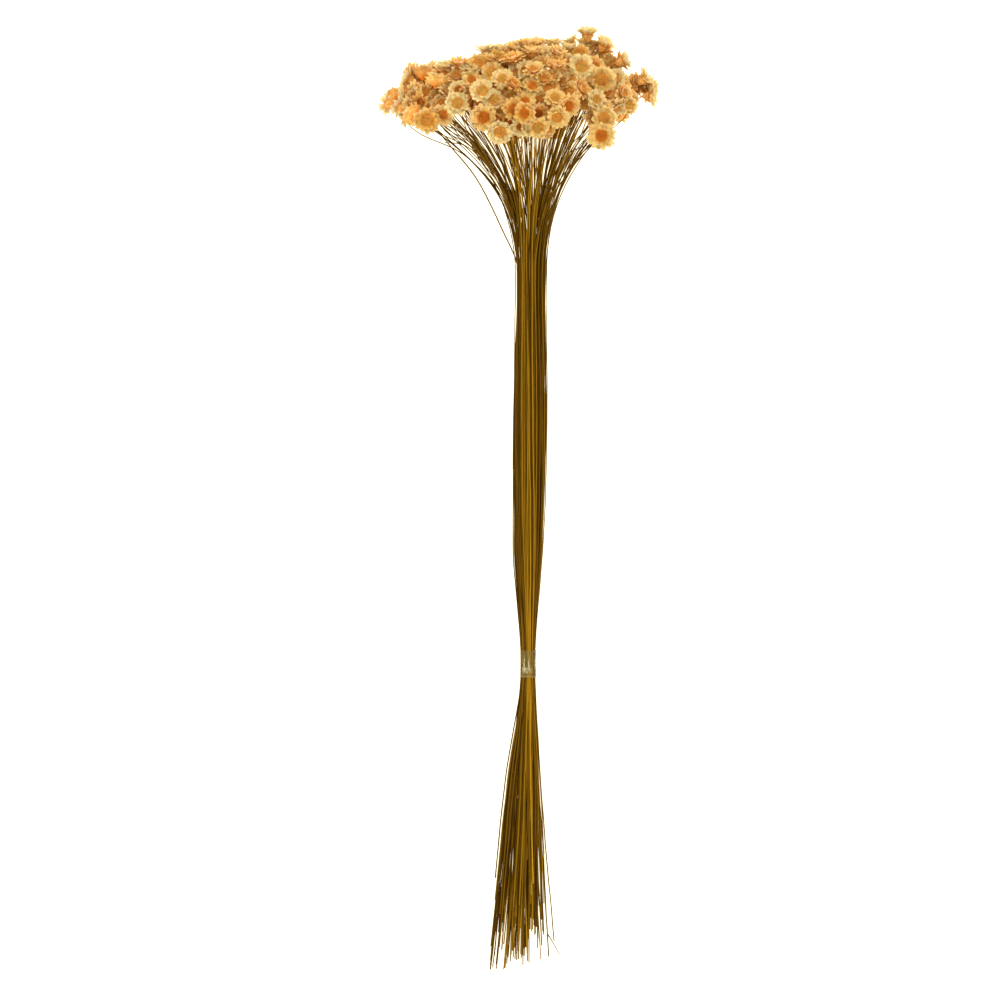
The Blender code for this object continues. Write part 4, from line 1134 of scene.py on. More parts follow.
@dataclass
class FlowerHeads:
    """All blooms: the points that carry their small shapes, and the pieces made of them.

    Lengths are in millimetres and angles in degrees. A pair with a plural name is a random range.
    """

    layout: HeadLayout
    shift: np.ndarray
    inner: list[int]
    inner_piece: int = 4
    # The lowest ring is shaded darkest and the top one lightest: painted shade.
    whorls: tuple[Whorl, ...] = (
        Whorl(15, 0.35, -0.45, 1.10, 0.9, 0.44, 0.98, 8.0),
        Whorl(14, 0.36, -0.05, 0.99, 1.35, 0.43, 1.0, 26.0),
        Whorl(13, 0.37, 0.30, 0.78, 1.7, 0.35, 1.03, 46.0),
    )
    scale_rings: tuple[ScaleRing, ...] = (
        ScaleRing(7, -4.1, 0.10, 50.0, 1.6, 1.2, 0.0),
        ScaleRing(9, -3.2, 0.20, 44.0, 1.9, 1.5, 0.25),
        ScaleRing(11, -2.2, 0.29, 42.0, 2.3, 1.8, 0.5),
        ScaleRing(12, -1.3, 0.36, 38.0, 2.8, 2.0, 0.85),
    )
    florets: int = 44
    disc: float = 0.41
    # The drawn blooms, which sit under and between the listed ones, lean to the deeper amber tones: partly
    # random tone, partly painted shade.
    drawn_tones: tuple[str, str] = ("cpppkkkaaaa", "ootttbr")
    calyx: Triple = (0.90, 0.54, 0.15)
    calyx_pale: Triple = (0.97, 0.79, 0.48)
    side_paler: float = 0.8
    behind_below: float = -15.0
    behind_growth: float = 1.65
    stars: tuple[int, ...] = (0, 1)
    star_calyx: float = 0.62
    star_fewer: float = 0.6
    star_narrow: float = 0.25
    open_from: float = 66.0
    tuft_below: float = 41.0
    from_behind: float = 0.3
    tuft_length: float = 0.14
    tuft_narrow: float = 0.08
    tuft_closings: Pair = (0.6, 1.4)
    fan_below: float = 35.0
    fan_span: float = 20.0
    fan_lift: float = 15.0
    fan_length: float = 0.12
    near: float = 18.0
    overlap: float = 1.0
    heart_back: float = 0.2
    crowd_lift: float = 55.0
    crowd_least: float = 0.55
    crowd_shortest: float = 0.78
    closed_spread: float = 4.0
    turn_spread: float = 0.12
    lift_spread: float = 5.0
    lengths: Pair = (0.88, 1.08)
    widths: Pair = (0.85, 1.12)
    heights: Pair = (0.6, 1.3)
    slender_share: Pair = (0.12, 0.30)
    bloom_tints: Pair = (0.92, 1.06)
    bract_tints: Pair = (0.90, 1.06)
    hue_spread: float = 0.03
    scale_turn_spread: float = 0.08
    scale_lengths: Pair = (0.9, 1.15)
    scale_tints: Pair = (0.85, 1.15)
    scale_closing: float = 0.4
    heart_tint: float = 0.9
    disc_dome: Pair = (0.85, 0.40)
    golden_turn: float = 137.508
    floret_gap: float = 0.95
    floret_sizes: Pair = (0.85, 1.15)
    floret_height: float = 1.6
    floret_tints: Pair = (0.8, 1.2)
    rim_power: float = 1.5
    flutter: float = 0.06
    floor_ease: float = 0.6

    def tones(self, rng: Draws) -> list[tuple[BractTone, DiscTone]]:
        """The bract tone and the disc tone of every bloom."""
        tones = [(BractTone[row[0]], DiscTone[row[1]]) for row in UPPER_TONES]
        while len(tones) < len(self.layout.centres):
            bract, disc = (rng.choice(list(letters)) for letters in self.drawn_tones)
            tones.append((BractTone[bract], DiscTone[disc]))
        return tones

    def room(self, bloom: int) -> list[tuple[np.ndarray, float]]:
        """Planes midway between a bloom and each near one, as a normal and an offset."""
        centres = self.layout.centres
        away = centres - centres[bloom]
        gap = np.linalg.norm(away, axis=1)
        planes = []
        for j in np.flatnonzero((gap > 0) & (gap < self.near)):
            normal = away[j] / gap[j]
            planes.append((normal, float(normal @ centres[bloom]) + 0.5 * gap[j] + self.overlap))
        return planes

    def free_share(self, made: Bloom, planes: list[tuple[np.ndarray, float]], tip: np.ndarray) -> float:
        """How much of the way from a bloom's heart to a bract's tip is clear of its neighbours."""
        heart = made.centre - made.facing * self.heart_back
        share = 1.0
        for normal, offset in planes:
            near, far = float(normal @ heart), float(normal @ tip)
            if far > offset:
                share = min(share, (offset - near) / (far - near))
        return share

    def add_bracts(self, made: Bloom, bloom: int, base: np.ndarray, up: float, closed: float,
                   rng: Draws) -> None:
        """Adds the whorls of bracts to a bloom.

        Args:
            made: The bloom.
            bloom: Its number.
            base: Its tint.
            up: How far it looks up, in degrees.
            closed: How far it is closed, in degrees.
            rng: The random draws.
        """
        planes = self.room(bloom)
        tuft = float(np.clip((self.open_from - up) / (self.open_from - self.tuft_below), 0.0, 1.0))
        tuft = self.from_behind if up < 0 else tuft
        fan = float(np.clip((self.fan_below - up) / self.fan_span, 0.0, 1.0))
        fan = fan if up > self.behind_below else 0.0
        star = bloom in self.stars
        narrow = self.star_narrow if star else self.tuft_narrow * tuft
        slender_share = self.slender_share[0] + self.slender_share[1] * (tuft if up > 0 else 1.0)
        for whorl in self.whorls[:2] if star else self.whorls:
            start = rng.uniform(0, 2 * math.pi)
            count = round(whorl.count * (self.star_fewer if star else 1.0))
            rise = math.atan2(whorl.tip_height - whorl.root_height, (whorl.tip - whorl.root) * made.radius)
            for k in range(count):
                angle = start + (k + rng.normal(0, self.turn_spread)) * 2 * math.pi / count
                root = made.spot(whorl.root, whorl.root_height, angle)
                tip = made.spot(whorl.tip, whorl.tip_height, angle)
                share = self.free_share(made, planes, tip)
                length = float(np.linalg.norm(tip - root)) * rng.uniform(*self.lengths)
                crowd = self.crowd_lift * (1 - max(share, self.crowd_least))
                lift = rise + math.radians(closed + rng.normal(0, self.lift_spread) + crowd)
                tufted = whorl.tuft * tuft * rng.uniform(*self.tuft_closings)
                lift += math.radians(tufted + self.fan_lift * fan)
                longer = 1.0 + self.tuft_length * tuft + self.fan_length * fan
                length *= max(self.crowd_shortest, share ** 0.5) * longer
                width = whorl.width * made.radius * rng.uniform(*self.widths) * (1.0 - narrow)
                slender = star or rng.random() < slender_share
                first, shapes = (Kind.SLENDER, 2) if slender else (Kind.BRACT, 4)
                kind = first.value + int(rng.integers(shapes))
                size = (length, width, length * rng.uniform(*self.heights))
                # A ring's shade is painted shade, darkest for the lowest ring.
                tint = base * whorl.shade * rng.uniform(*self.bract_tints)
                made.add(kind, root, angle, lift, size, tint * (1.0 + rng.normal(0, self.hue_spread, 3)))

    def add_scales(self, made: Bloom, up: float, closed: float, grown: float,
                   rng: Draws) -> None:
        """Adds the rings of calyx scales to a bloom.

        Args:
            made: The bloom.
            up: How far it looks up, in degrees.
            closed: How far it is closed, in degrees.
            grown: How large its calyx is.
            rng: The random draws.
        """
        dark, pale = linear(self.calyx), linear(self.calyx_pale)
        dark = dark + (pale - dark) * (self.side_paler if up > self.behind_below else 0.0)
        for ring in self.scale_rings:
            start = rng.uniform(0, 2 * math.pi)
            length, width = grown * ring.length, grown * ring.width
            for k in range(ring.count):
                angle = start + (k + rng.normal(0, self.scale_turn_spread)) * 2 * math.pi / ring.count
                tint = (dark + (pale - dark) * ring.pale) * rng.uniform(*self.scale_tints)
                size = (length * rng.uniform(*self.scale_lengths), width, length)
                lift = math.radians(ring.lift + self.scale_closing * closed)
                place = made.spot(grown * ring.share, ring.height, angle)
                made.add(Kind.SCALE.value, place, angle, lift, size, tint)

    def add_disc(self, made: Bloom, tone: DiscTone, wide: float, rng: Draws) -> None:
        """Adds the heart and the spiral of florets to a bloom."""
        rim, middle = (linear(c) for c in tone.value)
        made.add(Kind.HEART.value, made.centre, 0.0, 0.0, (wide, wide, 1.0), self.heart_tint * rim)
        least, dome = self.disc_dome
        spacing = self.floret_gap * self.disc * made.radius / math.sqrt(self.florets)
        for k in range(self.florets):
            share = math.sqrt((k + 0.5) / self.florets)
            angle = k * math.radians(self.golden_turn)
            place = made.spot(self.disc * share, least + dome * (1.0 - share * share), angle)
            size = spacing * rng.uniform(*self.floret_sizes)
            tint = (middle + (rim - middle) * share ** self.rim_power) * rng.uniform(*self.floret_tints)
            made.add(Kind.FLORET.value, place, angle, 0.0, (size, size, size * self.floret_height), tint)

    def rows_of(self, bloom: int, tone: tuple[BractTone, DiscTone],
                rng: Draws) -> list[tuple]:
        """Every small shape of one bloom: kind, place, turn, size and tint."""
        layout, facing = self.layout, self.layout.facings[bloom]
        ways = across(facing, float(rng.uniform(0, 2 * math.pi)))
        made = Bloom(layout.centres[bloom], facing, layout.radii[bloom], ways, [])
        up = math.degrees(math.asin(float(np.clip(facing[2], -1.0, 1.0))))
        closed = float(rng.normal(0, self.closed_spread))
        base = linear(tone[0].value) * rng.uniform(*self.bloom_tints)
        self.add_bracts(made, bloom, base, up, closed, rng)
        grown = self.behind_growth if up < self.behind_below else 1.0
        grown = self.star_calyx if bloom in self.stars else grown
        self.add_scales(made, up, closed, grown, rng)
        self.add_disc(made, tone[1], made.radius * min(1.0, grown), rng)
        return made.rows

    def builder(self) -> bpy.types.NodeTree:
        tree = bpy.data.node_groups.new("Head Builder", "GeometryNodeTree")
        nodes = NodeTree(tree)
        nodes.declare("OUTPUT", "Geometry", "Geometry")
        nodes.declare("INPUT", "Geometry", "Points")
        nodes.declare("INPUT", "Collection", "Kinds")
        nodes.declare("INPUT", "Float", "Size", value=1.0)
        nodes.declare("INPUT", "Float", "Flutter", value=self.flutter)
        nodes.declare("INPUT", "Int", "Seed", value=SEED)
        nodes.declare("INPUT", "Material", "Bract Finish", "Calyx Finish", "Disc Finish")
        given = nodes.add("NodeGroupInput").outputs
        kind, turn = nodes.named("kind", "INT"), nodes.named("turn", "FLOAT_VECTOR")
        vectors = "ShaderNodeVectorMath"
        low, high = (nodes.add(vectors, {0: (way, way, way), "Scale": given["Flutter"]},
                               operation="SCALE").outputs[0] for way in (-1.0, 1.0))
        flutter = nodes.add("FunctionNodeRandomValue", {0: low, 1: high, "Seed": given["Seed"]},
                            data_type="FLOAT_VECTOR").outputs[0]
        turn = nodes.add(vectors, {0: turn, 1: flutter}, operation="ADD").outputs[0]
        turn = nodes.add("FunctionNodeEulerToRotation", {0: turn}).outputs[0]
        size = nodes.add(vectors, {0: nodes.named("size", "FLOAT_VECTOR"), "Scale": given["Size"]},
                         operation="SCALE").outputs[0]
        kinds = nodes.add("GeometryNodeCollectionInfo", {
            "Collection": given["Kinds"], "Separate Children": True, "Reset Children": True}).outputs[0]
        placed = nodes.add("GeometryNodeInstanceOnPoints", {
            "Points": given["Points"], "Instance": kinds, "Pick Instance": True,
            "Instance Index": kind, "Rotation": turn, "Scale": size}).outputs[0]
        shape = nodes.add("GeometryNodeRealizeInstances", {"Geometry": placed}).outputs[0]
        dressed = {"Geometry": shape, "Material": given["Bract Finish"]}
        shape = nodes.add("GeometryNodeSetMaterial", dressed).outputs[0]
        for finish, first in (("Calyx Finish", Kind.SCALE), ("Disc Finish", Kind.HEART)):
            chosen = nodes.add("FunctionNodeCompare", data_type="INT", operation="GREATER_EQUAL")
            tree.links.new(kind, chosen.inputs[2])
            chosen.inputs[3].default_value = first.value
            dressed = {"Geometry": shape, "Selection": chosen.outputs[0], "Material": given[finish]}
            shape = nodes.add("GeometryNodeSetMaterial", dressed).outputs[0]
        nodes.add("NodeGroupOutput", {"Geometry": shape})
        return tree

    def rest_on_floor(self, mesh: bpy.types.Mesh) -> None:
        """Flattens what would sink into the floor."""
        points = np.empty(len(mesh.vertices) * 3, np.float32)
        mesh.vertices.foreach_get("co", points)
        points = points.reshape(-1, 3)
        ease = self.floor_ease * MM
        low = points[:, 2] < ease
        points[low, 2] = ease * np.exp((points[low, 2] - ease) / ease)
        mesh.vertices.foreach_set("co", points.ravel())
        mesh.update()

    def build(self, kit: bpy.types.Collection, finishes: dict[str, bpy.types.Material]) -> None:
        """Builds the piece of every node of blooms, and those of the inner layer."""
        rng = np.random.default_rng(SEED + 1)
        tones = self.tones(rng)
        tree = self.builder()
        sets = [(f"heads_{g + 1:02d}", members, (f"blooms_{g + 1:02d}",))
                for g, members in enumerate(self.layout.groups)]
        sets += [(f"inner_heads_{n // self.inner_piece + 1:02d}", self.inner[n:n + self.inner_piece], ())
                 for n in range(0, len(self.inner), self.inner_piece)]
        for g, (name, members, nodes) in enumerate(sets):
            rows = [row for i in members for row in self.rows_of(i, tones[i], rng)]
            places = (np.array([row[1] for row in rows]) + self.shift) * MM
            piece = mesh_object(name, places, [])
            store(piece.data, "kind", "INT", np.array([row[0] for row in rows]))
            store(piece.data, "turn", "FLOAT_VECTOR", np.array([row[2] for row in rows]))
            store(piece.data, "size", "FLOAT_VECTOR", np.array([row[3] for row in rows]) * MM)
            store(piece.data, "tint", "FLOAT_COLOR", np.array([(*row[4], 1.0) for row in rows]))
            bake(piece, tree, {"Kinds": kit, "Size": 1.0, "Flutter": self.flutter, "Seed": SEED + g,
                               "Bract Finish": finishes["bract"], "Calyx Finish": finishes["calyx"],
                               "Disc Finish": finishes["disc"]})
            self.rest_on_floor(piece.data)
            finish_piece(piece, "petal", *nodes)


def bake(piece: bpy.types.Object, tree: bpy.types.NodeTree, values: dict) -> None:
    """Runs a node tree on a piece and keeps the result as its plain mesh.

    Args:
        piece: The object whose mesh feeds the tree.
        tree: The geometry tree.
        values: What its named inputs are set to.
    """
    modifier = piece.modifiers.new("builder", "NODES")
    modifier.node_group = tree
    sockets = {item.name: item.identifier for item in tree.interface.items_tree
               if item.item_type == "SOCKET" and item.in_out == "INPUT"}
    for name, value in values.items():
        modifier[sockets[name]] = value
    bpy.context.view_layer.update()
    evaluated = piece.evaluated_get(bpy.context.evaluated_depsgraph_get())
    mesh = bpy.data.meshes.new_from_object(evaluated)
    piece.modifiers.remove(modifier)
    piece.data = mesh
    mesh.name = piece.name
    for name in ("kind", "turn", "size", "thick"):
        if name in mesh.attributes:
            mesh.attributes.remove(mesh.attributes[name])
    mesh.polygons.foreach_set("use_smooth", [True] * len(mesh.polygons))
    mesh.update()


def finish_piece(piece: bpy.types.Object, slot: str, *nodes: str) -> None:
    """Lets a piece ride on the bunch and stand for its nodes."""
    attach(piece, "root")
    if nodes:
        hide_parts(*nodes)
    LOG.info("%s: %d faces", piece.name, len(piece.data.polygons))


@dataclass
class Stalks:
    """The stalks swept along their paths, six to a piece, and the thinner ones of the inner layer."""

    layout: StalkLayout
    inner: InnerLayer
    shift: np.ndarray
    thickness: float = 0.37
    inner_thickness: float = 0.33
    inner_piece: int = 8
    tie_thickness: float = 0.28
    tie_half: float = 8.0
    sides: int = 7
    sample: float = 7.0
    waver: float = 0.07
    tie_slope: float = 0.6
    cut_scatter: Pair = (4.0, 0.9)
    cut_drift: float = 1.6
    left_wider: float = 1.25
    cut_reach: float = 22.0
    cut_ragged: float = 9.0
    cut_short: Pair = (8.0, 34.0)
    short_share: float = 0.18
    low_sway: float = 1.1
    sway: float = 0.32
    into_calyx: float = 0.1
    fan_left: tuple[Pair, ...] = (
        (165.0, -15.5), (178.0, -19.0), (187.0, -25.0), (196.0, -31.0), (205.0, -41.0), (214.0, -52.0),
        (222.0, -90.0))
    fan_right: tuple[Pair, ...] = (
        (165.0, 16.5), (178.0, 18.0), (187.0, 20.5), (196.0, 27.0), (205.0, 42.0), (214.0, 55.0),
        (222.0, 90.0))
    long_waves: Pair = (45.0, 80.0)
    short_waves: Pair = (22.0, 34.0)
    short_wave_share: float = 0.6
    waver_from_tie: float = 40.0
    waver_to_end: float = 20.0
    growths: Pair = (0.86, 1.10)
    taper: Pair = (1.06, 0.86)
    squeeze_span: float = 14.0
    squeeze_start: float = 0.5
    stray_bloom: int = 4
    stray_way: tuple[Pair, ...] = ((-16.4, 160.9), (-30.5, 188.5), (-47.0, 208.5))
    stray_growth: float = 1.3
    outer_dark: Pair = (16.0, 40.0)
    outer_tone: float = 0.15
    tone_mix: Pair = (1.1, 1.5)
    twigs: tuple[Four, ...] = (
        (-36.9, 208.0, -49.1, 208.8), (24.6, 203.6, 34.5, 207.1), (11.1, -255.6, 18.7, -267.3))
    twig_thickness: float = 0.30
    twig_taper: tuple[Pair, ...] = ((0.0, 1.2), (0.35, 1.0), (0.7, 0.9), (1.0, 0.7))
    twig_bow: float = 0.5
    dark: Triple = (0.27, 0.17, 0.0)
    light: Triple = (0.73, 0.55, 0.11)

    def knots(self, path: np.ndarray, stalk: int, bloom: int, rng: Draws) -> np.ndarray:
        """The points that one stalk passes through, pressed together inside the tape."""
        path = path.copy()
        path[0, ::2] += rng.normal(size=2) * self.cut_scatter
        path[0, 0] -= self.cut_drift
        widest = along(self.layout.profile, path[0, 1])
        path[0, 0] = np.clip(path[0, 0], -self.left_wider * widest, widest)
        path[0, 1] -= self.cut_reach * rng.random() * (path[0, 0] / widest) ** 2
        path[0, 1] = max(path[0, 1], self.layout.longest + self.cut_ragged * rng.random())
        path[0, 1] += rng.uniform(*self.cut_short) if rng.random() < self.short_share else 0.0
        path[3:6, ::2] += rng.normal(size=(3, 2)) * self.sway
        for knot in path[6:9]:
            knot[0] = np.clip(knot[0], along(self.fan_left, knot[1]), along(self.fan_right, knot[1]))
        if bloom == self.stray_bloom:
            path[6:9, :2] = self.stray_way
        x, z = self.inner.tie_spots[stalk]
        for n, side in ((1, -1), (2, 1)):
            path[n] = (x, self.layout.tie_y + side * self.tie_half, self.layout.tie_centre_z + z)
        head = self.layout.head
        path[-1] = head.centres[bloom] - head.facings[bloom] * (self.layout.calyx_depth - self.into_calyx)
        sway = (rng.normal(0, self.low_sway), 0.0, rng.normal(0, 0.5 * self.low_sway))
        return np.insert(path, 1, 0.5 * (path[0] + path[1]) + sway, axis=0)

    def curve(self, knots: np.ndarray, rng: Draws) -> np.ndarray:
        """Points along a smooth curve through a stalk's knots, with a slight waver."""
        spans = np.linalg.norm(np.diff(knots, axis=0), axis=1)
        at = np.concatenate(([0.0], np.cumsum(spans)))
        slopes = np.empty_like(knots)
        chords = np.diff(knots, axis=0) / spans[:, None]
        slopes[0], slopes[-1] = chords[0], chords[-1]
        before, after = spans[:-1, None], spans[1:, None]
        even = (chords[:-1] * after + chords[1:] * before) / (before + after)
        least = 3.0 * np.minimum(np.abs(chords[:-1]), np.abs(chords[1:]))
        rising = chords[:-1] * chords[1:] > 0
        slopes[1:-1] = np.where(rising, np.sign(even) * np.minimum(np.abs(even), least), 0.0)
        for knot, outside in ((2, chords[1]), (3, chords[3])):
            slopes[knot] = self.tie_slope * outside + (1.0 - self.tie_slope) * chords[2]
        points = []
        for n, span in enumerate(spans):
            steps = max(2, math.ceil(span / self.sample))
            for k in range(steps + (n == len(spans) - 1)):
                t = k / steps
                s = 1.0 - t
                points.append((1 + 2 * t) * s * s * knots[n] + t * s * s * span * slopes[n]
                              + t * t * (3 - 2 * t) * knots[n + 1] - t * t * s * span * slopes[n + 1])
        points = np.array(points)
        run = np.concatenate(([0.0], np.cumsum(np.linalg.norm(np.diff(points, axis=0), axis=1))))
        for axis in (0, 2):
            wave = np.sin(2 * math.pi * (run / rng.uniform(*self.long_waves) + rng.random()))
            short = np.sin(2 * math.pi * (run / rng.uniform(*self.short_waves) + rng.random()))
            wave += self.short_wave_share * short
            loose = np.clip(np.abs(points[:, 1] - self.layout.tie_y) / self.waver_from_tie, 0.0, 1.0)
            ending = np.clip((at[-1] - run) / self.waver_to_end, 0.0, 1.0)
            points[:, axis] += self.waver * wave * loose * ending
        points[:, 2] = np.maximum(points[:, 2], self.thickness)
        return points

    def sweeper(self) -> bpy.types.NodeTree:
        """The node tree that sweeps a round stalk along every line, as thick as its points say."""
        tree = bpy.data.node_groups.new("Stalk Sweeper", "GeometryNodeTree")
        nodes = NodeTree(tree)
        nodes.declare("OUTPUT", "Geometry", "Geometry")
        nodes.declare("INPUT", "Geometry", "Lines")
        nodes.declare("INPUT", "Int", "Sides", value=self.sides)
        nodes.declare("INPUT", "Float", "Stalk Radius", value=MM)
        nodes.declare("INPUT", "Material", "Stalk Finish")
        given = nodes.add("NodeGroupInput").outputs
        line = nodes.add("GeometryNodeMeshToCurve", {"Mesh": given["Lines"]}).outputs[0]
        round_shape = {"Resolution": given["Sides"], "Radius": given["Stalk Radius"]}
        ring = nodes.add("GeometryNodeCurvePrimitiveCircle", round_shape).outputs[0]
        swept = nodes.add("GeometryNodeCurveToMesh", {
            "Curve": line, "Profile Curve": ring, "Scale": nodes.named("thick", "FLOAT"),
            "Fill Caps": True}).outputs[0]
        whole = nodes.add("GeometryNodeRealizeInstances", {"Geometry": swept}).outputs[0]
        dressed = {"Geometry": whole, "Material": given["Stalk Finish"]}
        shape = nodes.add("GeometryNodeSetMaterial", dressed).outputs[0]
        nodes.add("NodeGroupOutput", {"Geometry": shape})
        return tree

    def strands(self) -> list[tuple[str, list[int], tuple[str, ...]]]:
        """The pieces: their names, their stalks and the frame's nodes that they stand for."""
        own, extra = len(self.layout.paths), len(self.inner.paths)
        count = max(spot[0] for spot in self.layout.spots) + 1
        sets = [(f"stems_{k + 1:02d}", [i for i, spot in enumerate(self.layout.spots) if spot[0] == k],
                 (f"stalks_{k + 1:02d}",)) for k in range(count)]
        thin = list(range(own, own + extra))
        sets += [(f"inner_stems_{n // self.inner_piece + 1:02d}", thin[n:n + self.inner_piece], ())
                 for n in range(0, extra, self.inner_piece)]
        return sets

    def twig_lines(self, stalk_points: np.ndarray) -> tuple[list, list, list, list]:
        """Points, edges, thicknesses and colours of the twigs, each rooted in its nearest stalk."""
        points, edges, thick = [], [], []
        for x, y, tip_x, tip_y in self.twigs:
            near = stalk_points[np.linalg.norm(stalk_points[:, :2] - (x, y), axis=1) < self.sample]
            root = near[np.argmin(np.linalg.norm(near[:, :2] - (x, y), axis=1))]
            tip = np.array((tip_x, tip_y, root[2] + self.twig_bow))
            edges += [(len(points) + n, len(points) + n + 1) for n in range(len(self.twig_taper) - 1)]
            for t, size in self.twig_taper:
                bow = (0.0, self.twig_bow * math.sin(math.pi * t), 0.0)
                points.append(root + (tip - root) * t + bow)
                thick.append(self.twig_thickness * size)
        return points, edges, thick, [(*linear(self.dark), 1.0)] * len(points)

    def build(self, finishes: dict[str, bpy.types.Material]) -> None:
        """Builds the piece of every strand, and those of the inner stalks."""
        rng = np.random.default_rng(SEED + 2)
        tree = self.sweeper()
        layout, inner, first = self.layout, self.inner, len(self.layout.paths)
        dark, light = linear(self.dark), linear(self.light)
        curves = []
        for name, stalks, nodes in self.strands():
            points, edges, thick, tint = [], [], [], []
            for stalk in stalks:
                own = stalk < first
                path = layout.paths[stalk] if own else inner.paths[stalk - first]
                bloom = layout.bloom_of[stalk] if own else inner.members[stalk - first]
                curve = self.curve(self.knots(path, stalk, int(bloom), rng), rng)
                curves.append(curve)
                edges += [(len(points) + n, len(points) + n + 1) for n in range(len(curve) - 1)]
                points += list(curve)
                size = (self.thickness if own else self.inner_thickness) * rng.uniform(*self.growths)
                size *= self.stray_growth if bloom == self.stray_bloom else 1.0
                outside = np.abs(curve[:, 1] - layout.tie_y) / self.squeeze_span - self.squeeze_start
                squeeze = np.clip(outside, 0.0, 1.0)
                taper = np.linspace(*self.taper, len(curve))
                thick += list(self.tie_thickness + (size * taper - self.tie_thickness) * squeeze)
                out = np.interp(abs(path[7, 0]), self.outer_dark, (1.0, self.outer_tone))
                tone = dark + (light - dark) * rng.beta(*self.tone_mix) * out
                tint += [(*tone, 1.0)] * len(curve)
            self.sweep(name, (points, edges, thick, tint), tree, finishes, nodes)
        self.sweep("broken_twigs", self.twig_lines(np.vstack(curves)), tree, finishes, ())

    def sweep(self, name: str, lines: tuple[list, list, list, list], tree: bpy.types.NodeTree,
              finishes: dict[str, bpy.types.Material], nodes: tuple[str, ...]) -> None:
        """Turns lines into the round stalks of one piece.

        Args:
            name: Name of the piece.
            lines: Points in millimetres, edges, and a thickness and a colour a point.
            tree: The sweeper.
            finishes: All finishes by name.
            nodes: The frame's nodes that the piece stands for.
        """
        points, edges, thick, tint = lines
        piece = mesh_object(name, (np.array(points) + self.shift) * MM, edges)
        store(piece.data, "thick", "FLOAT", np.array(thick))
        store(piece.data, "tint", "FLOAT_COLOR", np.array(tint))
        bake(piece, tree, {"Sides": self.sides, "Stalk Radius": MM, "Stalk Finish": finishes["stalk"]})
        finish_piece(piece, "stalk", *nodes)


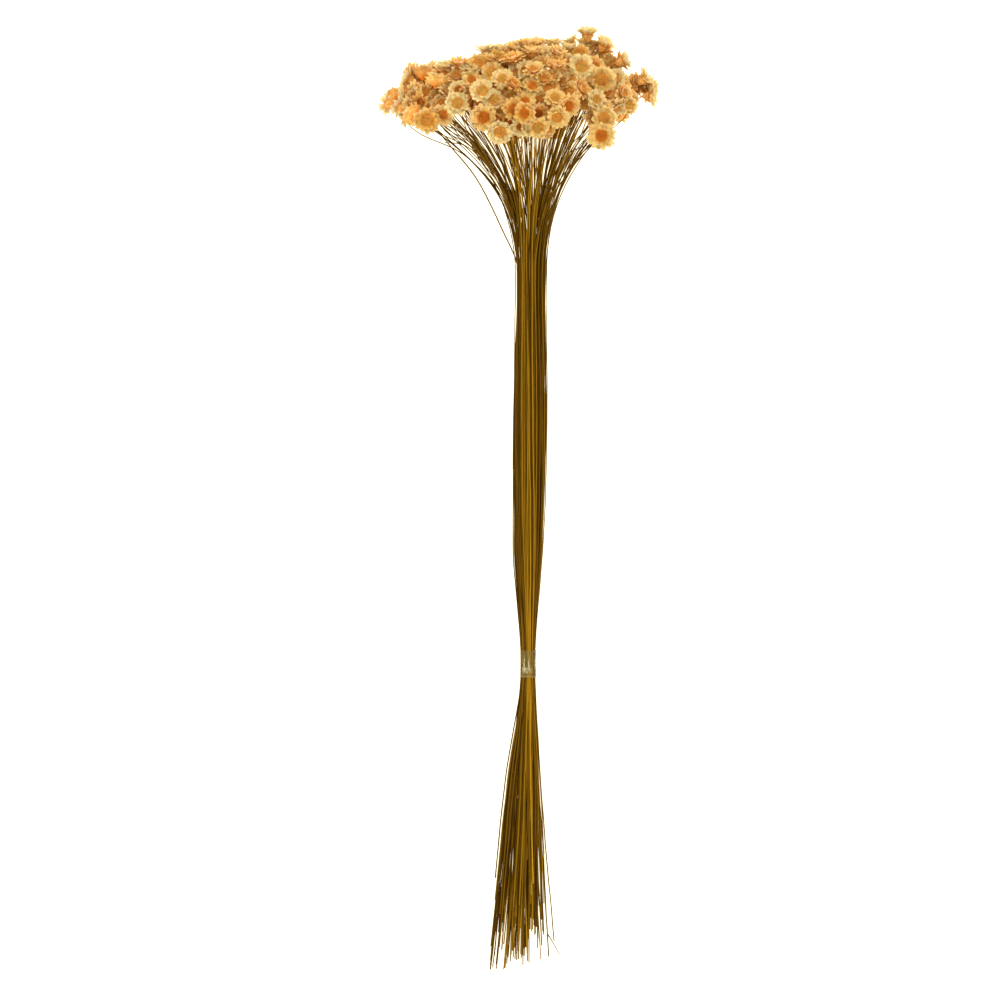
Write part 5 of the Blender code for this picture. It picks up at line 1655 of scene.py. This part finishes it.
@dataclass
class TapeBand:
    """Clear tape wound tight round the stalks, two turns and a bit, hugging their outline."""

    stalks: Stalks
    half: float = 8.0
    film: float = 0.10
    turns: float = 2.12
    steps: int = 96
    stations: int = 25
    ripple: float = 0.05
    # Pale streaks on the outer turn: painted highlights.
    highlight_streaks: tuple[Four, ...] = (
        (117.0, 5.0, -101.5, -89.5), (83.0, 4.0, -101.5, -91.0), (27.0, 6.0, -99.0, -90.5))
    crumple: Four = (62.0, 132.0, -102.0, -98.2)
    edge_haze: float = 0.45
    edge_height: float = 0.8
    wander: Pair = (2.0, 0.9)
    streak_ends: Pair = (1.5, 5.0)
    crumple_power: float = 1.5
    grazing: float = 0.2
    turn_gap: float = 0.03
    waves: tuple[tuple[int, float], ...] = ((5, 0.0), (9, 0.6), (2, 0.9))
    flat_lift: float = 0.25
    wave_share: float = 0.5
    loose_steps: int = 6
    loose_lift: float = 0.06
    above_floor: float = 0.01

    def haze(self, angle: float, y: float, rng: Draws) -> float:
        """How pale the film is at an angle in degrees and a y: in streaks of painted highlight, in
        wrinkles, and at its low edge.
        """
        pale = 0.0
        swing, waves = self.wander
        below, above = self.streak_ends
        # Painted highlights: pale streaks down the tape.
        for at, width, low, high in self.highlight_streaks:
            away = (angle - at - swing * math.sin(waves * y)) / width
            inside = np.clip((y - low) / below, 0.0, 1.0) * np.clip((high - y) / above, 0.0, 1.0)
            pale = max(pale, math.exp(-away * away) * float(inside))
        left, right, low, high = self.crumple
        if left < angle < right and low < y < high:
            pale = max(pale, float(rng.random()) ** self.crumple_power)
        if y < self.stalks.layout.tie_y - self.half + self.edge_height:
            pale = max(pale, self.edge_haze * float(rng.random()))
        return pale

    def outline(self, count: int) -> np.ndarray:
        """Distance from the tie's axis to a tight loop round the stalks, at evenly spaced angles."""
        spots = self.stalks.inner.tie_spots
        angles = np.linspace(0, 2 * math.pi, count, endpoint=False)
        ways = np.stack([np.cos(angles), np.sin(angles)], axis=1)
        support = (spots @ ways.T).max(axis=0) + self.stalks.tie_thickness
        turned = np.cos(angles[:, None] - angles[None])
        reach = support[None] / np.maximum(turned, self.grazing)
        return np.where(turned > self.grazing, reach, np.inf).min(axis=1)

    def build(self, finishes: dict[str, bpy.types.Material]) -> None:
        """Builds the wound strip as a closed thin shell."""
        layout = self.stalks.layout
        rim = self.outline(self.steps)
        rng = np.random.default_rng(SEED + 3)
        phase = rng.uniform(0, 2 * math.pi, 6)
        total = int(self.turns * self.steps)
        points, faces, haze = [], [], []
        for n in range(total + 1):
            angle = 2 * math.pi * n / self.steps
            outer = n > total - self.steps
            wound = (self.film + self.turn_gap) * n / self.steps
            for m in range(self.stations):
                side = 2 * m / (self.stations - 1) - 1
                y = layout.tie_y + self.half * side
                edge = abs(side) ** 4
                wave = sum(math.sin(count * angle + slant * y + start)
                           for (count, slant), start in zip(self.waves, phase))
                lift = self.ripple * (self.flat_lift + edge) * (1 + self.wave_share * wave)
                if n > total - self.loose_steps:
                    lift += self.loose_lift * (n - total + self.loose_steps) / self.loose_steps
                haze += [self.haze(math.degrees(angle) % 360.0, y, rng) if outer else 0.0] * 2
                for face_out in (0.0, self.film):
                    r = rim[n % self.steps] + wound + lift + face_out
                    points.append((r * math.cos(angle), y, layout.tie_centre_z + r * math.sin(angle)))
        row = 2 * self.stations
        for n in range(total):
            for m in range(self.stations - 1):
                a, b = n * row + 2 * m, n * row + 2 * (m + 1)
                faces.append((a, b, b + row, a + row)[::-1])
                faces.append((a + 1, b + 1, b + row + 1, a + row + 1))
            for m, flip in ((0, 1), (self.stations - 1, -1)):
                a = n * row + 2 * m
                faces.append((a, a + row, a + row + 1, a + 1)[::-flip])
        for n, flip in ((0, 1), (total, -1)):
            for m in range(self.stations - 1):
                a, b = n * row + 2 * m, n * row + 2 * (m + 1)
                faces.append((a, a + 1, b + 1, b)[::-flip])
        shaped = np.array(points)
        shaped[:, 2] = np.maximum(shaped[:, 2], self.above_floor)
        piece = mesh_object("tape_band", (shaped + self.stalks.shift) * MM, faces)
        store(piece.data, "haze", "FLOAT", np.array(haze))
        piece.data.materials.append(finishes["film"])
        finish_piece(piece, "film", "tie")


@dataclass
class Studio:
    """Pale floor, soft lights and the camera that looks straight down."""

    frame_width: float = 0.585
    middle: Pair = (-16.4, 0.0)
    focus_height: float = 0.040
    lens: float = 500.0
    floor_half: float = 3.0
    warmth: Triple = (1.0, 0.94, 0.78)
    world_power: float = 0.95
    aim: Triple = (0.0, 0.1, 0.0)
    furthest: float = 50.0
    lamp_size: float = 1.6
    lamps: tuple[tuple[str, Triple, float], ...] = (
        ("key", (-1.6, 1.2, 0.9), 14.0), ("fill", (1.7, 0.9, 0.9), 11.0),
        ("rear", (0.1, 2.0, 0.9), 13.0), ("foot", (-0.1, -1.9, 1.0), 12.0))

    def build(self, shift: np.ndarray, floor_material: bpy.types.Material) -> None:
        """Builds the floor, lights, world and camera."""
        h = self.floor_half
        corners = np.array([(-h, -h, 0), (h, -h, 0), (h, h, 0), (-h, h, 0)])
        floor = mesh_object("floor", corners, [(0, 1, 2, 3)], False)
        floor.data.materials.append(floor_material)
        for name, place, power in self.lamps:
            self.light(name, place, power)
        world = bpy.data.worlds.new("studio")
        world.use_nodes = True
        sky = world.node_tree.nodes["Background"].inputs
        sky["Color"].default_value = (*self.warmth, 1.0)
        sky["Strength"].default_value = self.world_power
        bpy.context.scene.world = world
        bpy.context.scene.view_settings.view_transform = "Standard"
        data = bpy.data.cameras.new("camera")
        data.lens = self.lens
        camera = bpy.data.objects.new("camera", data)
        height = self.focus_height + self.frame_width * self.lens / data.sensor_width
        camera.location = ((self.middle[0] + shift[0]) * MM, (self.middle[1] + shift[1]) * MM, height)
        data.clip_end = self.furthest
        bpy.context.scene.collection.objects.link(camera)
        bpy.context.scene.camera = camera

    def light(self, name: str, place: Triple, power: float) -> None:
        """Adds a square soft light that looks at the flowers."""
        data = bpy.data.lights.new(name, "AREA")
        data.size = self.lamp_size
        data.energy = power
        data.color = self.warmth
        lamp = bpy.data.objects.new(name, data)
        lamp.location = place
        lamp.rotation_euler = (Vector(self.aim) - Vector(place)).to_track_quat("-Z", "Y").to_euler()
        bpy.context.scene.collection.objects.link(lamp)


def dress(shift: np.ndarray, rng: Draws) -> None:
    """Lays the bunch out as the frame has it, and builds its pieces and their finishes."""
    heads = HeadLayout()
    heads.lay_out(rng)
    heads.group(rng)
    heads.settle()
    stalks = StalkLayout(heads)
    stalks.spread()
    stalks.assign()
    stalks.draw(rng)
    stalks.settle()
    spare = np.random.default_rng(SEED + 4)
    inner = InnerLayer(heads, stalks)
    inner.fill(spare)
    inner.pack_tie(spare)
    inner.route(spare)
    grain = DryGrain()
    finishes = {
        "bract": BractFinish("dry_bract", 0.7, 0.00008, glow=0.5, glow_depth=0.0009,
                             specular=0.05).build(grain),
        "calyx": TintedFinish("calyx_scale", 0.7, 0.0001, specular=0.12).build(grain),
        "disc": TintedFinish("disc_floret", 0.8, 0.0001, specular=0.12, contrast=0.3).build(grain),
        "stalk": TintedFinish("dry_stalk", 0.6, 0.0001, specular=0.05, contrast=0.25,
                              stretch=(1.0, 0.05, 1.0)).build(grain),
        "film": FilmFinish("clear_tape", 0.14, 0.0001, specular=0.5).build(),
    }
    kit = HeadKit().build()
    FlowerHeads(heads, shift, inner.members).build(kit, finishes)
    for kind in list(kit.objects):
        bpy.data.objects.remove(kind, do_unlink=True)
    bpy.data.collections.remove(kit)
    bundle = Stalks(stalks, inner, shift)
    bundle.build(finishes)
    TapeBand(bundle).build(finishes)


def main() -> None:
    """Builds the whole scene."""
    logging.basicConfig(level=logging.INFO, format="%(name)s: %(message)s")
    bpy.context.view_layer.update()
    tie_low, tie_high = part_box("tie")
    tie_y = StalkLayout.tie_y
    shift = np.array(((tie_low.x + tie_high.x) / 2, (tie_low.y + tie_high.y) / 2, tie_low.z)) / MM
    shift -= (0.0, tie_y, 0.0)
    dress(shift, np.random.default_rng(SEED))
    Studio().build(shift, FloorFinish("pale_board", 0.9, 0.0).build())


if __name__ == "__main__":
    main()
